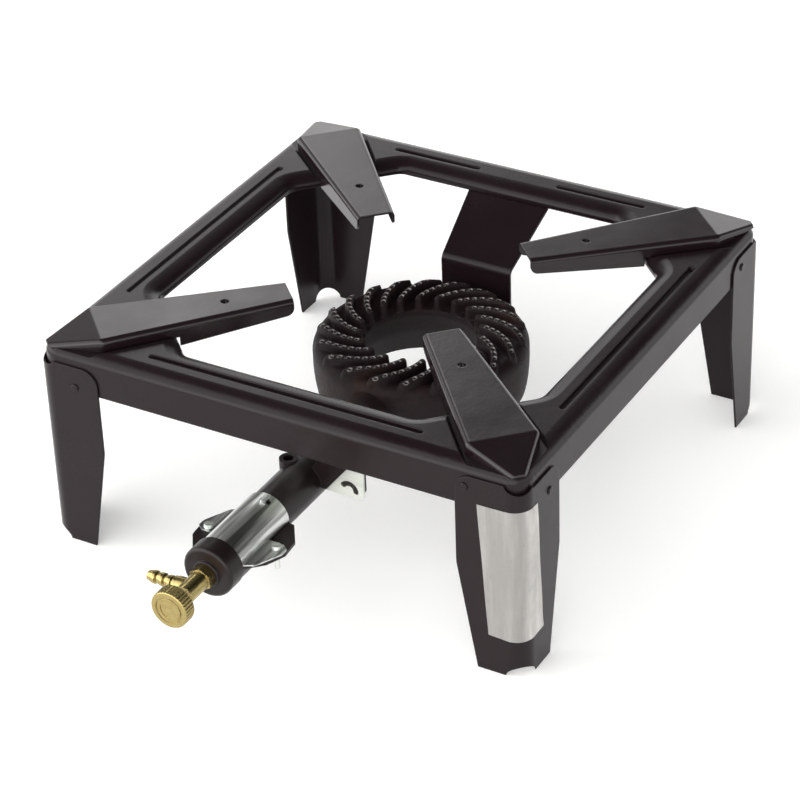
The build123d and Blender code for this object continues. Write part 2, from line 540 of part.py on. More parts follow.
with BuildPart() as burner_casting:
    with BuildSketch(Plane.XZ.offset(-BURN_Y)):
        with BuildLine():
            shelf = BURN_R - RIM_R
            waist = SHELF_TOP - RIM_R
            k45 = RIM_R / math.sqrt(2)
            Polyline((FLARE_R, BURN_BOTTOM), (BURN_HOLE_R, FLARE_Z), (BURN_HOLE_R, GROOVE_FLOOR), (SHELF_RISE_R, GROOVE_FLOOR), (shelf, SHELF_TOP))
            ThreePointArc((shelf, SHELF_TOP), (shelf + k45, waist + k45), (BURN_R, waist))
            ThreePointArc((BURN_R, waist), (BURN_R - 0.3, BURN_BOTTOM + 20), (BURN_R - 3.0, BURN_BOTTOM + 2))
            Polyline((BURN_R - 3.0, BURN_BOTTOM + 2), (BURN_R - 5.0, BURN_BOTTOM), (FLARE_R, BURN_BOTTOM))
        make_face()
    revolve(axis=burner_axis)
    # swept ridges standing on the shelf, blunt at both ends
    with BuildSketch(Plane.XY.offset(GROOVE_FLOOR - 6)):
        for k in range(RIDGE_COUNT):
            SlotArc(Edge.make_three_point_arc(
                swept_point(k, RIDGE_R_IN), swept_point(k, RIDGE_REF_R), swept_point(k, RIDGE_R_OUT)), RIDGE_W)
    extrude(amount=BURN_TOP - GROOVE_FLOOR + 6)
    # the ridges fall away towards the rim
    with BuildSketch(Plane.XZ.offset(-BURN_Y)):
        with BuildLine():
            ThreePointArc((71.0, BURN_TOP), (78.2, BURN_TOP - 2.3), (83.6, BURN_TOP - 7.6))
            Polyline((83.6, BURN_TOP - 7.6), (90.0, BURN_TOP - 7.6), (90.0, BURN_TOP + 5), (71.0, BURN_TOP + 5), (71.0, BURN_TOP))
        make_face()
    revolve(axis=burner_axis, mode=Mode.SUBTRACT)
    # neck that takes the mixing tube
    with BuildSketch(Plane.XZ.offset(60)):
        with Locations((0, TUBE_Z)):
            Circle(20.0)
    extrude(amount=20)
    # lugs for the rear bracket
    with BuildSketch(Plane.XY.offset(BURN_BOTTOM - 2)):
        with Locations((-18, 96.5), (18, 96.5)):
            Circle(6.5)
        with Locations((-18, 91), (18, 91)):
            Rectangle(13, 11)
    extrude(amount=17)
    # annular gas chamber, open below, with a rebate for the bottom plate
    with BuildSketch(Plane.XZ.offset(-BURN_Y)):
        roof = GROOVE_FLOOR - 5.5
        Polygon(
            (BURN_HOLE_R + 5.0, roof), (76.5, roof), (76.5, BURN_BOTTOM - 3), (FLARE_R + 5.0, BURN_BOTTOM - 3),
            (FLARE_R + 5.0, BURN_BOTTOM), (BURN_HOLE_R + 5.0, FLARE_Z), align=None)
    revolve(axis=burner_axis, mode=Mode.SUBTRACT)
    with BuildSketch(Plane.XY.offset(BURN_BOTTOM)):
        with Locations(*boss_points):
            Circle(4.6)
    extrude(amount=roof + 1.0 - BURN_BOTTOM)
    with BuildSketch(Plane.XY.offset(BURN_BOTTOM - 3)):
        with Locations((0, BURN_Y)):
            Circle(77.2)
            Circle(FLARE_R + 4.2, mode=Mode.SUBTRACT)
    extrude(amount=3 + 2.0, mode=Mode.SUBTRACT)
    # bore of the neck, open into the chamber
    with BuildSketch(Plane.XZ.offset(46.5)):
        with Locations((0, TUBE_Z)):
            Circle(TUBE_R + 0.1)
    extrude(amount=50, mode=Mode.SUBTRACT)
    # threaded holes for bottom plate and rear bracket
    with BuildSketch(Plane.XY.offset(BURN_BOTTOM - 3)):
        with Locations(*boss_points):
            Circle(2.05)
    extrude(amount=16, mode=Mode.SUBTRACT)
    with BuildSketch(Plane.XY.offset(BURN_BOTTOM - 4)):
        with Locations((-18, 96.5), (18, 96.5)):
            Circle(2.55)
    extrude(amount=15, mode=Mode.SUBTRACT)
    # gas ports along every ridge
    ports = [
        swept_point(k, PORT_R_IN + p * (PORT_R_OUT - PORT_R_IN) / (PORTS_PER_RIDGE - 1))
        for k in range(RIDGE_COUNT) for p in range(PORTS_PER_RIDGE)]
    with BuildSketch(Plane.XY.offset(GROOVE_FLOOR - 7)):
        with Locations(*ports):
            Circle(PORT_R)
    extrude(amount=30, mode=Mode.SUBTRACT)
burner_casting.part.label = "burner_casting"
export_step(burner_casting.part, "parts/burner_casting.step")

with BuildPart() as burner_bottom_plate:
    with BuildSketch(Plane.XY.offset(BURN_BOTTOM)):
        with Locations((0, BURN_Y)):
            Circle(77.0)
            Circle(FLARE_R + 4.4, mode=Mode.SUBTRACT)
        with Locations(*boss_points):
            Circle(2.2, mode=Mode.SUBTRACT)
        with Locations((-18, 96.5), (18, 96.5)):
            Circle(7.0, mode=Mode.SUBTRACT)
        with Locations((-18, 91), (18, 91)):
            Rectangle(14, 12, mode=Mode.SUBTRACT)
        with Locations((0, -64)):
            Rectangle(42, 22, mode=Mode.SUBTRACT)
    extrude(amount=2.0)
burner_bottom_plate.part.label = "burner_bottom_plate"
export_step(burner_bottom_plate.part, "parts/burner_bottom_plate.step")

with BuildPart() as bottom_plate_screws:
    for x, y in boss_points:
        with BuildSketch(Plane.XY.offset(BURN_BOTTOM)):
            with Locations((x, y)):
                Circle(3.6)
        extrude(amount=-2.2, taper=18)
        with BuildSketch(Plane.XY.offset(BURN_BOTTOM - 0.5)):
            with Locations((x, y)):
                Circle(2.0)
        extrude(amount=11.0)
        with BuildSketch(Plane.XY.offset(BURN_BOTTOM - 2.2)):
            with Locations((x, y)):
                Rectangle(8, 1.0)
        extrude(amount=1.0, mode=Mode.SUBTRACT)
bottom_plate_screws.part.label = "bottom_plate_screws"
export_step(bottom_plate_screws.part, "parts/bottom_plate_screws.step")

# ---------------------------------------------------------------------------
# Mixing tube with air windows, a cast boss and a fixing ear
# ---------------------------------------------------------------------------
with BuildPart() as mixing_tube:
    with BuildSketch(Plane.XZ.offset(-TUBE_REAR)):
        with Locations((0, TUBE_Z)):
            Circle(TUBE_R)
    extrude(amount=TUBE_REAR - TUBE_FRONT)
    with BuildSketch(Plane.XY.offset(TUBE_Z)):
        with Locations((BOSS_X, BOSS_Y)):
            Circle(7.0)
    extrude(amount=BOSS_TOP - TUBE_Z)
    with BuildSketch(Plane.XZ.offset(-EAR_REAR)):
        Polygon((8.0, TUBE_Z - 2.0), (51.0, TUBE_Z + 1.0), (51.0, TUBE_Z + 18.0), (40.0, TUBE_Z + 36.0), (24.0, TUBE_Z + 36.0), (8.0, TUBE_Z + 12.0), align=None)
    extrude(amount=6.48)
    ear = [e for e in mixing_tube.edges().filter_by(Axis.Y) if e.center().X > 22 and e.length < 7]
    fillet(ear, radius=3.0)
    with BuildSketch(Plane.XZ.offset(-TUBE_REAR - 2)):
        with Locations((0, TUBE_Z)):
            Circle(TUBE_BORE_R)
    extrude(amount=TUBE_REAR - TUBE_FRONT + 4, mode=Mode.SUBTRACT)
    # blind hole in the boss
    with BuildSketch(Plane.XY.offset(BOSS_TOP)):
        with Locations((BOSS_X, BOSS_Y)):
            Circle(4.0)
    extrude(amount=-5.0, mode=Mode.SUBTRACT)
    with BuildSketch(Plane.XZ.offset(150.0)):
        with Locations((32.0, TUBE_Z + 28.0)):
            Circle(2.55)
    extrude(amount=24, mode=Mode.SUBTRACT)
    # four air windows under the shutter
    for turn in (45, 135):
        with BuildSketch(Plane(origin=(0, -251.0, TUBE_Z), x_dir=(0, 1, 0), z_dir=(math.cos(math.radians(turn)), 0, math.sin(math.radians(turn))))):
            SlotOverall(36, 15)
        extrude(amount=30, both=True, mode=Mode.SUBTRACT)
mixing_tube.part.label = "mixing_tube"
export_step(mixing_tube.part, "parts/mixing_tube.step")

# ---------------------------------------------------------------------------
# Injector holder: cap over the tube's end, with a hub for the valve's shank
# ---------------------------------------------------------------------------
with BuildPart() as injector_holder:
    with BuildSketch(Plane.XZ.offset(-COLLAR_REAR)):
        with Locations((0, TUBE_Z)):
            Circle(COLLAR_R)
    extrude(amount=COLLAR_REAR - COLLAR_FRONT)
    fillet(injector_holder.edges().filter_by(GeomType.CIRCLE).sort_by(Axis.Y)[0], radius=3.2)
    fillet(injector_holder.edges().filter_by(GeomType.CIRCLE).sort_by(Axis.Y)[-1], radius=0.8)
    with BuildSketch(Plane.XZ.offset(-COLLAR_REAR - 1)):
        with Locations((0, TUBE_Z)):
            Circle(TUBE_R + 0.02)
    extrude(amount=COLLAR_REAR - TUBE_FRONT + 1.02, mode=Mode.SUBTRACT)
    with BuildSketch(Plane.XZ.offset(280.0)):
        with Locations((0, TUBE_Z)):
            Circle(13.0)
    extrude(amount=7.0, mode=Mode.SUBTRACT)
    with BuildSketch(Plane.XZ.offset(278.0)):
        with Locations((0, TUBE_Z)):
            Circle(HUB_R)
    extrude(amount=-HUB_FRONT - 278.0)
    with BuildSketch(Plane.XZ.offset(270.0)):
        with Locations((0, TUBE_Z)):
            Circle(5.05)
    extrude(amount=40.0, mode=Mode.SUBTRACT)
    rim = [e for e in injector_holder.edges().filter_by(GeomType.CIRCLE) if abs(e.center().Y - HUB_FRONT) < 0.1 and e.radius > 6]
    fillet(rim, radius=1.2)
injector_holder.part.label = "injector_holder"
export_step(injector_holder.part, "parts/injector_holder.step")

# ---------------------------------------------------------------------------
# Air shutter: plated cover over a black cradle, clamped by two screws
# ---------------------------------------------------------------------------
mid_y = (SHUT_REAR + SHUT_FRONT) / 2
cover_right = [(17.5, -239.5), (31.0, -240.0), (36.0, -244.0), (36.0, -250.0), (26.0, -270.0), (17.5, -274.5)]
cover_left = [(-x, 2 * mid_y - 3.0 - y) for x, y in cover_right]
cradle_right = [(17.5, -213.5), (24.0, -214.0), (35.0, -231.0), (36.5, -247.0), (30.0, -262.0), (17.5, -274.0)]
cradle_left = [(-x, 2 * mid_y - y) for x, y in cradle_right]
SCREWS = [(SHUT_SCREW_X, -245.5), (-SHUT_SCREW_X, 2 * mid_y - 3.0 + 245.5)]

with BuildPart() as shutter_cover:
    with BuildSketch(Plane.XZ.offset(-SHUT_REAR)):
        with Locations((0, TUBE_Z)):
            Circle(SHUT_R)
            Circle(SHUT_R - SHUT_T, mode=Mode.SUBTRACT)
            with Locations((0, -20 + 0.15)):
                Rectangle(60, 40, mode=Mode.SUBTRACT)
    extrude(amount=SHUT_REAR - SHUT_FRONT)
    # clamp wings
    with BuildSketch(Plane.XY.offset(TUBE_Z + 0.15)):
        Polygon(*cover_right, align=None)
        Polygon(*cover_left, align=None)
    extrude(amount=SHUT_T)
    wing_tips = [e for e in shutter_cover.edges().filter_by(Axis.Z) if abs(e.center().X) > 34]
    fillet(wing_tips, radius=2.2)
    with BuildSketch(Plane.XY.offset(TUBE_Z - 2)):
        with Locations(*SCREWS):
            Circle(2.2)
    extrude(amount=6, mode=Mode.SUBTRACT)
    # lanced stop near the burner end: a raised bridge over a slot
    with BuildSketch(Plane.XY.offset(TUBE_Z + 15.0)):
        with Locations((4.5, -219.5)):
            Rectangle(4.0, 8.5)
    extrude(amount=5.6)
    with BuildSketch(Plane.XY.offset(TUBE_Z + 14.0)):
        with Locations((4.5, -219.5)):
            Rectangle(8.0, 5.0)
    extrude(amount=5.4, mode=Mode.SUBTRACT)
    with BuildSketch(Plane.XZ.offset(-SHUT_REAR - 1)):
        with Locations((0, TUBE_Z)):
            Circle(SHUT_R - SHUT_T)
    extrude(amount=SHUT_REAR - SHUT_FRONT + 2, mode=Mode.SUBTRACT)
shutter_cover.part.label = "shutter_cover"
export_step(shutter_cover.part, "parts/shutter_cover.step")

with BuildPart() as shutter_cradle:
    with BuildSketch(Plane.XZ.offset(-SHUT_REAR)):
        with Locations((0, TUBE_Z)):
            Circle(SHUT_R + 0.6)
            Circle(SHUT_R - SHUT_T, mode=Mode.SUBTRACT)
            with Locations((0, 20 - 0.15)):
                Rectangle(60, 40, mode=Mode.SUBTRACT)
    extrude(amount=SHUT_REAR - SHUT_FRONT)
    with BuildSketch(Plane.XY.offset(TUBE_Z - 0.15)):
        Polygon(*cradle_right, align=None)
        Polygon(*cradle_left, align=None)
    extrude(amount=-2.6)
    ear_tips = [e for e in shutter_cradle.edges().filter_by(Axis.Z) if abs(e.center().X) > 29]
    fillet(ear_tips, radius=3.0)
    with BuildSketch(Plane.XY.offset(TUBE_Z - 6)):
        with Locations(*SCREWS):
            Circle(2.2)
    extrude(amount=10, mode=Mode.SUBTRACT)
    with BuildSketch(Plane.XZ.offset(-SHUT_REAR - 1)):
        with Locations((0, TUBE_Z)):
            Circle(SHUT_R - SHUT_T)
    extrude(amount=SHUT_REAR - SHUT_FRONT + 2, mode=Mode.SUBTRACT)
shutter_cradle.part.label = "shutter_cradle"
export_step(shutter_cradle.part, "parts/shutter_cradle.step")

with BuildPart() as shutter_screws:
    for x, y in SCREWS:
        head = TUBE_Z + 0.15 + SHUT_T
        with BuildSketch(Plane.XY.offset(head)):
            with Locations((x, y)):
                Circle(3.8)
        extrude(amount=2.4, taper=14)
        with BuildSketch(Plane.XY.offset(head + 0.01)):
            with Locations((x, y)):
                Circle(2.0)
        extrude(amount=-17.0)
        with BuildSketch(Plane.XY.offset(head + 2.4)):
            with Locations((x, y)):
                Rectangle(9, 1.0, rotation=35)
        extrude(amount=-1.1, mode=Mode.SUBTRACT)
shutter_screws.part.label = "shutter_screws"
export_step(shutter_screws.part, "parts/shutter_screws.step")

with BuildPart() as shutter_nuts:
    for x, y in SCREWS:
        with BuildSketch(Plane.XY.offset(TUBE_Z - 0.15 - 2.6)):
            with Locations((x, y)):
                RegularPolygon(radius=4.0, side_count=6)
                Circle(2.05, mode=Mode.SUBTRACT)
        extrude(amount=-3.2)
shutter_nuts.part.label = "shutter_nuts"
export_step(shutter_nuts.part, "parts/shutter_nuts.step")

# ---------------------------------------------------------------------------
# Brass needle valve: body, injector, hose nozzle, gland, spindle and knob
# ---------------------------------------------------------------------------
with BuildPart() as valve_body:
    # threaded shank through the hub
    with BuildSketch(Plane.XZ.offset(268.0)):
        with Locations((0, TUBE_Z)):
            Circle(5.0)
    extrude(amount=30.0)
    # hexagon against the hub
    with BuildSketch(Plane.XZ.offset(-HUB_FRONT)):
        with Locations((0, TUBE_Z)):
            RegularPolygon(radius=9.0, side_count=6, rotation=30)
    extrude(amount=7.0)
    with BuildSketch(Plane.XZ.offset(-HUB_FRONT)):
        with Locations((0, TUBE_Z)):
            Circle(VALVE_R)
    extrude(amount=HUB_FRONT - VALVE_FRONT)
    # side outlet for the hose nozzle
    with BuildSketch(Plane(origin=(0, NOZZLE_Y, TUBE_Z), x_dir=(0, 1, 0), z_dir=(-1, 0, 0))):
        Circle(6.2)
    extrude(amount=10.5)
    # gas ways: needle chamber, gland recess, seat, outlet
    with BuildSketch(Plane.XZ.offset(305.0)):
        with Locations((0, TUBE_Z)):
            Circle(4.4)
    extrude(amount=30.0, mode=Mode.SUBTRACT)
    with BuildSketch(Plane.XZ.offset(260.0)):
        with Locations((0, TUBE_Z)):
            Circle(1.6)
    extrude(amount=60.0, mode=Mode.SUBTRACT)
    with BuildSketch(Plane(origin=(-3.0, NOZZLE_Y, TUBE_Z), x_dir=(0, 1, 0), z_dir=(-1, 0, 0))):
        Circle(2.6)
    extrude(amount=12.0, mode=Mode.SUBTRACT)
    with BuildSketch(Plane(origin=(-5.4, NOZZLE_Y, TUBE_Z), x_dir=(0, 1, 0), z_dir=(-1, 0, 0))):
        Circle(4.05)
    extrude(amount=12.0, mode=Mode.SUBTRACT)
valve_body.part.label = "valve_body"
export_step(valve_body.part, "parts/valve_body.step")

with BuildPart() as injector:
    with BuildSketch(Plane.XZ.offset(258.0)):
        with Locations((0, TUBE_Z)):
            Circle(4.2)
    extrude(amount=4.0)
    with BuildSketch(Plane.XZ.offset(262.0)):
        with Locations((0, TUBE_Z)):
            RegularPolygon(radius=7.0, side_count=6)
    extrude(amount=12.0)
    with BuildSketch(Plane.XZ.offset(266.0)):
        with Locations((0, TUBE_Z)):
            Circle(5.03)
    extrude(amount=14.0, mode=Mode.SUBTRACT)
    with BuildSketch(Plane.XZ.offset(250.0)):
        with Locations((0, TUBE_Z)):
            Circle(0.65)
    extrude(amount=30.0, mode=Mode.SUBTRACT)
injector.part.label = "injector"
export_step(injector.part, "parts/injector.step")

with BuildPart() as hose_nozzle:
    with BuildSketch(Plane(origin=(0, NOZZLE_Y, TUBE_Z), x_dir=(-1, 0, 0), z_dir=(0, -1, 0))):
        with BuildLine():
            c, r = NOZZLE_CREST_R, NOZZLE_CREST_R - 1.2
            tip = -NOZZLE_TIP
            Polyline(
                (5.6, 2.2), (5.6, 4.0), (10.5, 4.0), (10.5, 5.6), (13.5, 5.6), (13.5, r),
                (15.6, r), (15.6, c), (17.6, c), (21.6, r), (22.0, r), (22.0, c), (24.0, c), (28.0, r), (28.4, r), (28.4, c), (30.4, c),
                (tip, r - 0.2), (tip, 2.2), (5.6, 2.2))
        make_face()
    revolve(axis=Axis(origin=(0, NOZZLE_Y, TUBE_Z), direction=(-1, 0, 0)))
hose_nozzle.part.label = "hose_nozzle"
export_step(hose_nozzle.part, "parts/hose_nozzle.step")

with BuildPart() as gland_nut:
    with BuildSketch(Plane.XZ.offset(-VALVE_FRONT)):
        with Locations((0, TUBE_Z)):
            RegularPolygon(radius=8.4, side_count=6)
    extrude(amount=5.0)
    with BuildSketch(Plane.XZ.offset(-VALVE_FRONT - 4.0)):
        with Locations((0, TUBE_Z)):
            Circle(4.35)
    extrude(amount=5.0)
    with BuildSketch(Plane.XZ.offset(300.0)):
        with Locations((0, TUBE_Z)):
            Circle(SPINDLE_R + 0.05)
    extrude(amount=60.0, mode=Mode.SUBTRACT)
gland_nut.part.label = "gland_nut"
export_step(gland_nut.part, "parts/gland_nut.step")

# spindle: needle point on the seat, groove for the seal, stem to the knob
with BuildPart() as valve_spindle:
    with BuildSketch(Plane(origin=(0, 0, TUBE_Z), x_dir=(0, -1, 0), z_dir=(-1, 0, 0))):
        with BuildLine():
            Polyline((302.6, 0), (302.6, 0.4), (305.0, 1.55), (306.9, 2.4), (308.4, 3.0), (312.2, 3.0), (312.2, 2.4), (314.6, 2.4), (314.6, SPINDLE_R), (-KNOB_REAR + 6.0, SPINDLE_R), (-KNOB_REAR + 6.0, 0), (302.6, 0))
        make_face()
    revolve(axis=Axis(origin=(0, 0, TUBE_Z), direction=(0, -1, 0)))
valve_spindle.part.label = "valve_spindle"
export_step(valve_spindle.part, "parts/valve_spindle.step")

with BuildPart() as spindle_seal:
    with BuildSketch(Plane(origin=(0, 0, TUBE_Z), x_dir=(0, -1, 0), z_dir=(-1, 0, 0))):
        with Locations((313.4, 3.4)):
            Circle(0.93)
    revolve(axis=Axis(origin=(0, 0, TUBE_Z), direction=(0, -1, 0)))
spindle_seal.part.label = "spindle_seal"
export_step(spindle_seal.part, "parts/spindle_seal.step")

with BuildPart() as valve_knob:
    with BuildSketch(Plane.XZ.offset(-KNOB_REAR)):
        with Locations((0, TUBE_Z)):
            Circle(KNOB_R)
    extrude(amount=KNOB_REAR - KNOB_FRONT)
    fillet(valve_knob.edges().filter_by(GeomType.CIRCLE), radius=1.4)
    # finger grip: ribs around the rim
    with BuildSketch(Plane.XZ.offset(-KNOB_REAR - 1)):
        with Locations((0, TUBE_Z)):
            with PolarLocations(KNOB_R + 0.35, 36):
                Circle(0.9)
    extrude(amount=14.0, mode=Mode.SUBTRACT)
    # raised ring and shallow dished face
    with BuildSketch(Plane.XZ.offset(-KNOB_FRONT)):
        with Locations((0, TUBE_Z)):
            Circle(10.6)
            Circle(9.4, mode=Mode.SUBTRACT)
    extrude(amount=-0.9, mode=Mode.SUBTRACT)
    # curved groove that shows which way the knob turns
    with BuildSketch(Plane.XZ.offset(-KNOB_FRONT)):
        with Locations((0, TUBE_Z)):
            SlotArc(Edge.make_three_point_arc((6.4 * math.cos(math.radians(150)), 6.4 * math.sin(math.radians(150))), (6.4 * math.cos(math.radians(200)), 6.4 * math.sin(math.radians(200))), (6.4 * math.cos(math.radians(250)), 6.4 * math.sin(math.radians(250)))), 1.5)
    extrude(amount=-0.8, mode=Mode.SUBTRACT)
    # bore for the spindle and hub skirt
    with BuildSketch(Plane.XZ.offset(-KNOB_REAR)):
        with Locations((0, TUBE_Z)):
            Circle(SPINDLE_R + 0.02)
    extrude(amount=6.02, mode=Mode.SUBTRACT)
    with BuildSketch(Plane.XZ.offset(-KNOB_REAR)):
        with Locations((0, TUBE_Z)):
            Circle(11.0)
            Circle(6.0, mode=Mode.SUBTRACT)
    extrude(amount=3.0, mode=Mode.SUBTRACT)
valve_knob.part.label = "valve_knob"
export_step(valve_knob.part, "parts/valve_knob.step")

# ---------------------------------------------------------------------------
# Blank foil label wrapped around the bend of the front right leg
# ---------------------------------------------------------------------------
FOIL = 0.25
with BuildPart() as blank_label:
    with BuildSketch(Plane.XY.offset(LEG_TOP)):
        RectangleRounded(SIDE + 2 * SHEET + 2 * FOIL, SIDE + 2 * SHEET + 2 * FOIL, LEG_BEND_R + SHEET + FOIL)
        RectangleRounded(SIDE + 2 * SHEET, SIDE + 2 * SHEET, LEG_BEND_R + SHEET, mode=Mode.SUBTRACT)
        with Locations((HALF - 40 + 50, -HALF + 40 - 50)):
            Rectangle(100, 100, mode=Mode.INTERSECT)
    extrude(amount=-LEG_TOP)
    # edges of the foil, a little askew: front face, then side face
    with BuildSketch(Plane.XZ.offset(190)):
        Polygon((165.2, 140.4), (230, 140.4), (230, 31.4), (172.6, 31.4), align=None)
    extrude(amount=30, mode=Mode.INTERSECT)
    with BuildSketch(Plane.YZ.offset(170)):
        Polygon((-240, 150.0), (-181.3, 150.0), (-181.3, 140.4), (-174.4, 31.4), (-174.4, 20), (-240, 20), align=None)
    extrude(amount=60, mode=Mode.INTERSECT)
blank_label.part.label = "blank_label"
export_step(blank_label.part, "parts/blank_label.step")
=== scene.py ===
import math

import bmesh
import bpy
import numpy as np
from mathutils import Matrix, Vector


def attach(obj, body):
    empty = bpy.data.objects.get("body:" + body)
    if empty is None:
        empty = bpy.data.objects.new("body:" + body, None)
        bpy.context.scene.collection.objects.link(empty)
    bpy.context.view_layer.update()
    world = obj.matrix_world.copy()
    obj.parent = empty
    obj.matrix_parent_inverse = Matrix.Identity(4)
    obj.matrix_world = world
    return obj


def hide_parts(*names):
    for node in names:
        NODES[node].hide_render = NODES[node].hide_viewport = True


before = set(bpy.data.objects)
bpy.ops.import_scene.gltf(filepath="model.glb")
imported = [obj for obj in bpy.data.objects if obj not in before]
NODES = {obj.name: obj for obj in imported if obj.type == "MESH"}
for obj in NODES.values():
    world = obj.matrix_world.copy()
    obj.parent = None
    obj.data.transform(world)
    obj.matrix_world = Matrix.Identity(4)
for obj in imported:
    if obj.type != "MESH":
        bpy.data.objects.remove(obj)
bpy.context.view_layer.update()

SCENE = bpy.context.scene
MM = 0.001


# ---------------------------------------------------------------------------
# Node helper: a small builder for procedural materials
# ---------------------------------------------------------------------------
class Shader:
    def __init__(self, name):
        self.material = bpy.data.materials.new(name)
        self.material.use_nodes = True
        self.tree = self.material.node_tree
        self.tree.nodes.clear()
        out = self.add("ShaderNodeOutputMaterial")
        self.bsdf = self.add("ShaderNodeBsdfPrincipled")
        self.link(self.bsdf.outputs["BSDF"], out.inputs["Surface"])
        self.coord = self.add("ShaderNodeTexCoord").outputs["Object"]

    def add(self, kind, **settings):
        node = self.tree.nodes.new(kind)
        for key, value in settings.items():
            setattr(node, key, value)
        return node

    def link(self, a, b):
        self.tree.links.new(a, b)

    def feed(self, socket, value):
        if isinstance(value, bpy.types.NodeSocket):
            self.link(value, socket)
        else:
            socket.default_value = value

    def mapped(self, scale=(1, 1, 1), location=(0, 0, 0), rotation=(0, 0, 0), vector=None):
        node = self.add("ShaderNodeMapping")
        self.link(vector or self.coord, node.inputs["Vector"])
        node.inputs["Location"].default_value = location
        node.inputs["Rotation"].default_value = rotation
        node.inputs["Scale"].default_value = scale
        return node.outputs["Vector"]

    def noise(self, scale, detail=3.0, rough=0.5, vector=None, distortion=0.0):
        node = self.add("ShaderNodeTexNoise")
        self.link(vector or self.coord, node.inputs["Vector"])
        node.inputs["Scale"].default_value = scale
        node.inputs["Detail"].default_value = detail
        node.inputs["Roughness"].default_value = rough
        node.inputs["Distortion"].default_value = distortion
        return node.outputs["Fac"]

    def cells(self, scale, vector=None, feature="F1", randomness=1.0):
        node = self.add("ShaderNodeTexVoronoi", feature=feature)
        self.link(vector or self.coord, node.inputs["Vector"])
        node.inputs["Scale"].default_value = scale
        node.inputs["Randomness"].default_value = randomness
        return node.outputs["Distance"]

    def span(self, value, low, high, to_low=0.0, to_high=1.0, smooth=True):
        node = self.add("ShaderNodeMapRange", interpolation_type="SMOOTHSTEP" if smooth else "LINEAR")
        self.feed(node.inputs["Value"], value)
        node.inputs["From Min"].default_value = low
        node.inputs["From Max"].default_value = high
        node.inputs["To Min"].default_value = to_low
        node.inputs["To Max"].default_value = to_high
        return node.outputs["Result"]

    def math(self, operation, a, b=0.0, clamp=False):
        node = self.add("ShaderNodeMath", operation=operation, use_clamp=clamp)
        self.feed(node.inputs[0], a)
        self.feed(node.inputs[1], b)
        return node.outputs[0]

    def mix(self, fac, a, b):
        node = self.add("ShaderNodeMix", data_type="RGBA")
        self.feed(node.inputs["Factor"], fac)
        self.feed(node.inputs[6], a if isinstance(a, bpy.types.NodeSocket) else (*a, 1.0))
        self.feed(node.inputs[7], b if isinstance(b, bpy.types.NodeSocket) else (*b, 1.0))
        return node.outputs[2]

    def rounded(self, radius, samples=4):
        node = self.add("ShaderNodeBevel", samples=samples)
        node.inputs["Radius"].default_value = radius
        return node.outputs["Normal"]

    def edges(self, normal, low, high):
        """Mask that is 1 along edges: how far the rounded normal leaves the face normal."""
        geometry = self.add("ShaderNodeNewGeometry")
        dot = self.add("ShaderNodeVectorMath", operation="DOT_PRODUCT")
        self.link(normal, dot.inputs[0])
        self.link(geometry.outputs["Normal"], dot.inputs[1])
        return self.span(self.math("SUBTRACT", 1.0, dot.outputs["Value"]), low, high)

    def bump(self, height, distance, strength=1.0, normal=None):
        node = self.add("ShaderNodeBump")
        self.link(height, node.inputs["Height"])
        node.inputs["Distance"].default_value = distance
        node.inputs["Strength"].default_value = strength
        if normal is not None:
            self.link(normal, node.inputs["Normal"])
        return node.outputs["Normal"]

    def finish(self, colour=None, roughness=None, metallic=0.0, normal=None, ior=1.5):
        if colour is not None:
            self.feed(self.bsdf.inputs["Base Color"], colour)
        if roughness is not None:
            self.feed(self.bsdf.inputs["Roughness"], roughness)
        self.feed(self.bsdf.inputs["Metallic"], metallic)
        self.bsdf.inputs["IOR"].default_value = ior
        if normal is not None:
            self.link(normal, self.bsdf.inputs["Normal"])
        return self.material


# ---------------------------------------------------------------------------
# Materials
# ---------------------------------------------------------------------------
def black_enamel(name, gloss=1.30, rough=0.0):
    """Stoved black enamel on pressed sheet: orange peel, faint waviness, thin worn edges, lightened partly as real wear
    and partly as a painted highlight along edges and creases.
    """
    s = Shader(name)
    edge_normal = s.rounded(0.0012, 6)
    edge = s.edges(edge_normal, 0.02, 0.35)
    patches = s.noise(9.0, 4.0, 0.55)
    waves = s.noise(17.0, 2.0, 0.5)
    peel = s.noise(330.0, 2.0, 0.45)
    fine = s.noise(1500.0, 2.0, 0.5)
    dust = s.span(s.cells(620.0), 0.10, 0.03)
    dust = s.math("MULTIPLY", dust, s.span(s.noise(24.0, 2.0), 0.48, 0.72))
    # edge mask for real wear that also serves as a painted highlight: it lightens the colour along edges and creases
    wear = s.math("MULTIPLY", edge, s.span(s.noise(70.0, 4.0, 0.6), 0.42, 0.66))
    colour = s.mix(patches, (0.0074, 0.0036, 0.0046), (0.0104, 0.0061, 0.0071))
    colour = s.mix(s.math("MULTIPLY", dust, 0.05), colour, (0.20, 0.19, 0.18))
    colour = s.mix(s.math("MULTIPLY", wear, 0.15), colour, (0.16, 0.15, 0.145))
    roughness = s.span(patches, 0.25, 0.75, 0.20 + rough, 0.29 + rough)
    roughness = s.math("ADD", roughness, s.math("MULTIPLY", wear, 0.10))
    roughness = s.math("ADD", roughness, s.math("MULTIPLY", s.math("SUBTRACT", fine, 0.5), 0.05), clamp=True)
    normal = s.bump(waves, 0.0011, 0.35, edge_normal)
    normal = s.bump(peel, 0.00007, 0.45, normal)
    normal = s.bump(fine, 0.00002, 0.25, normal)
    return s.finish(colour, roughness, 0.0, normal, gloss)


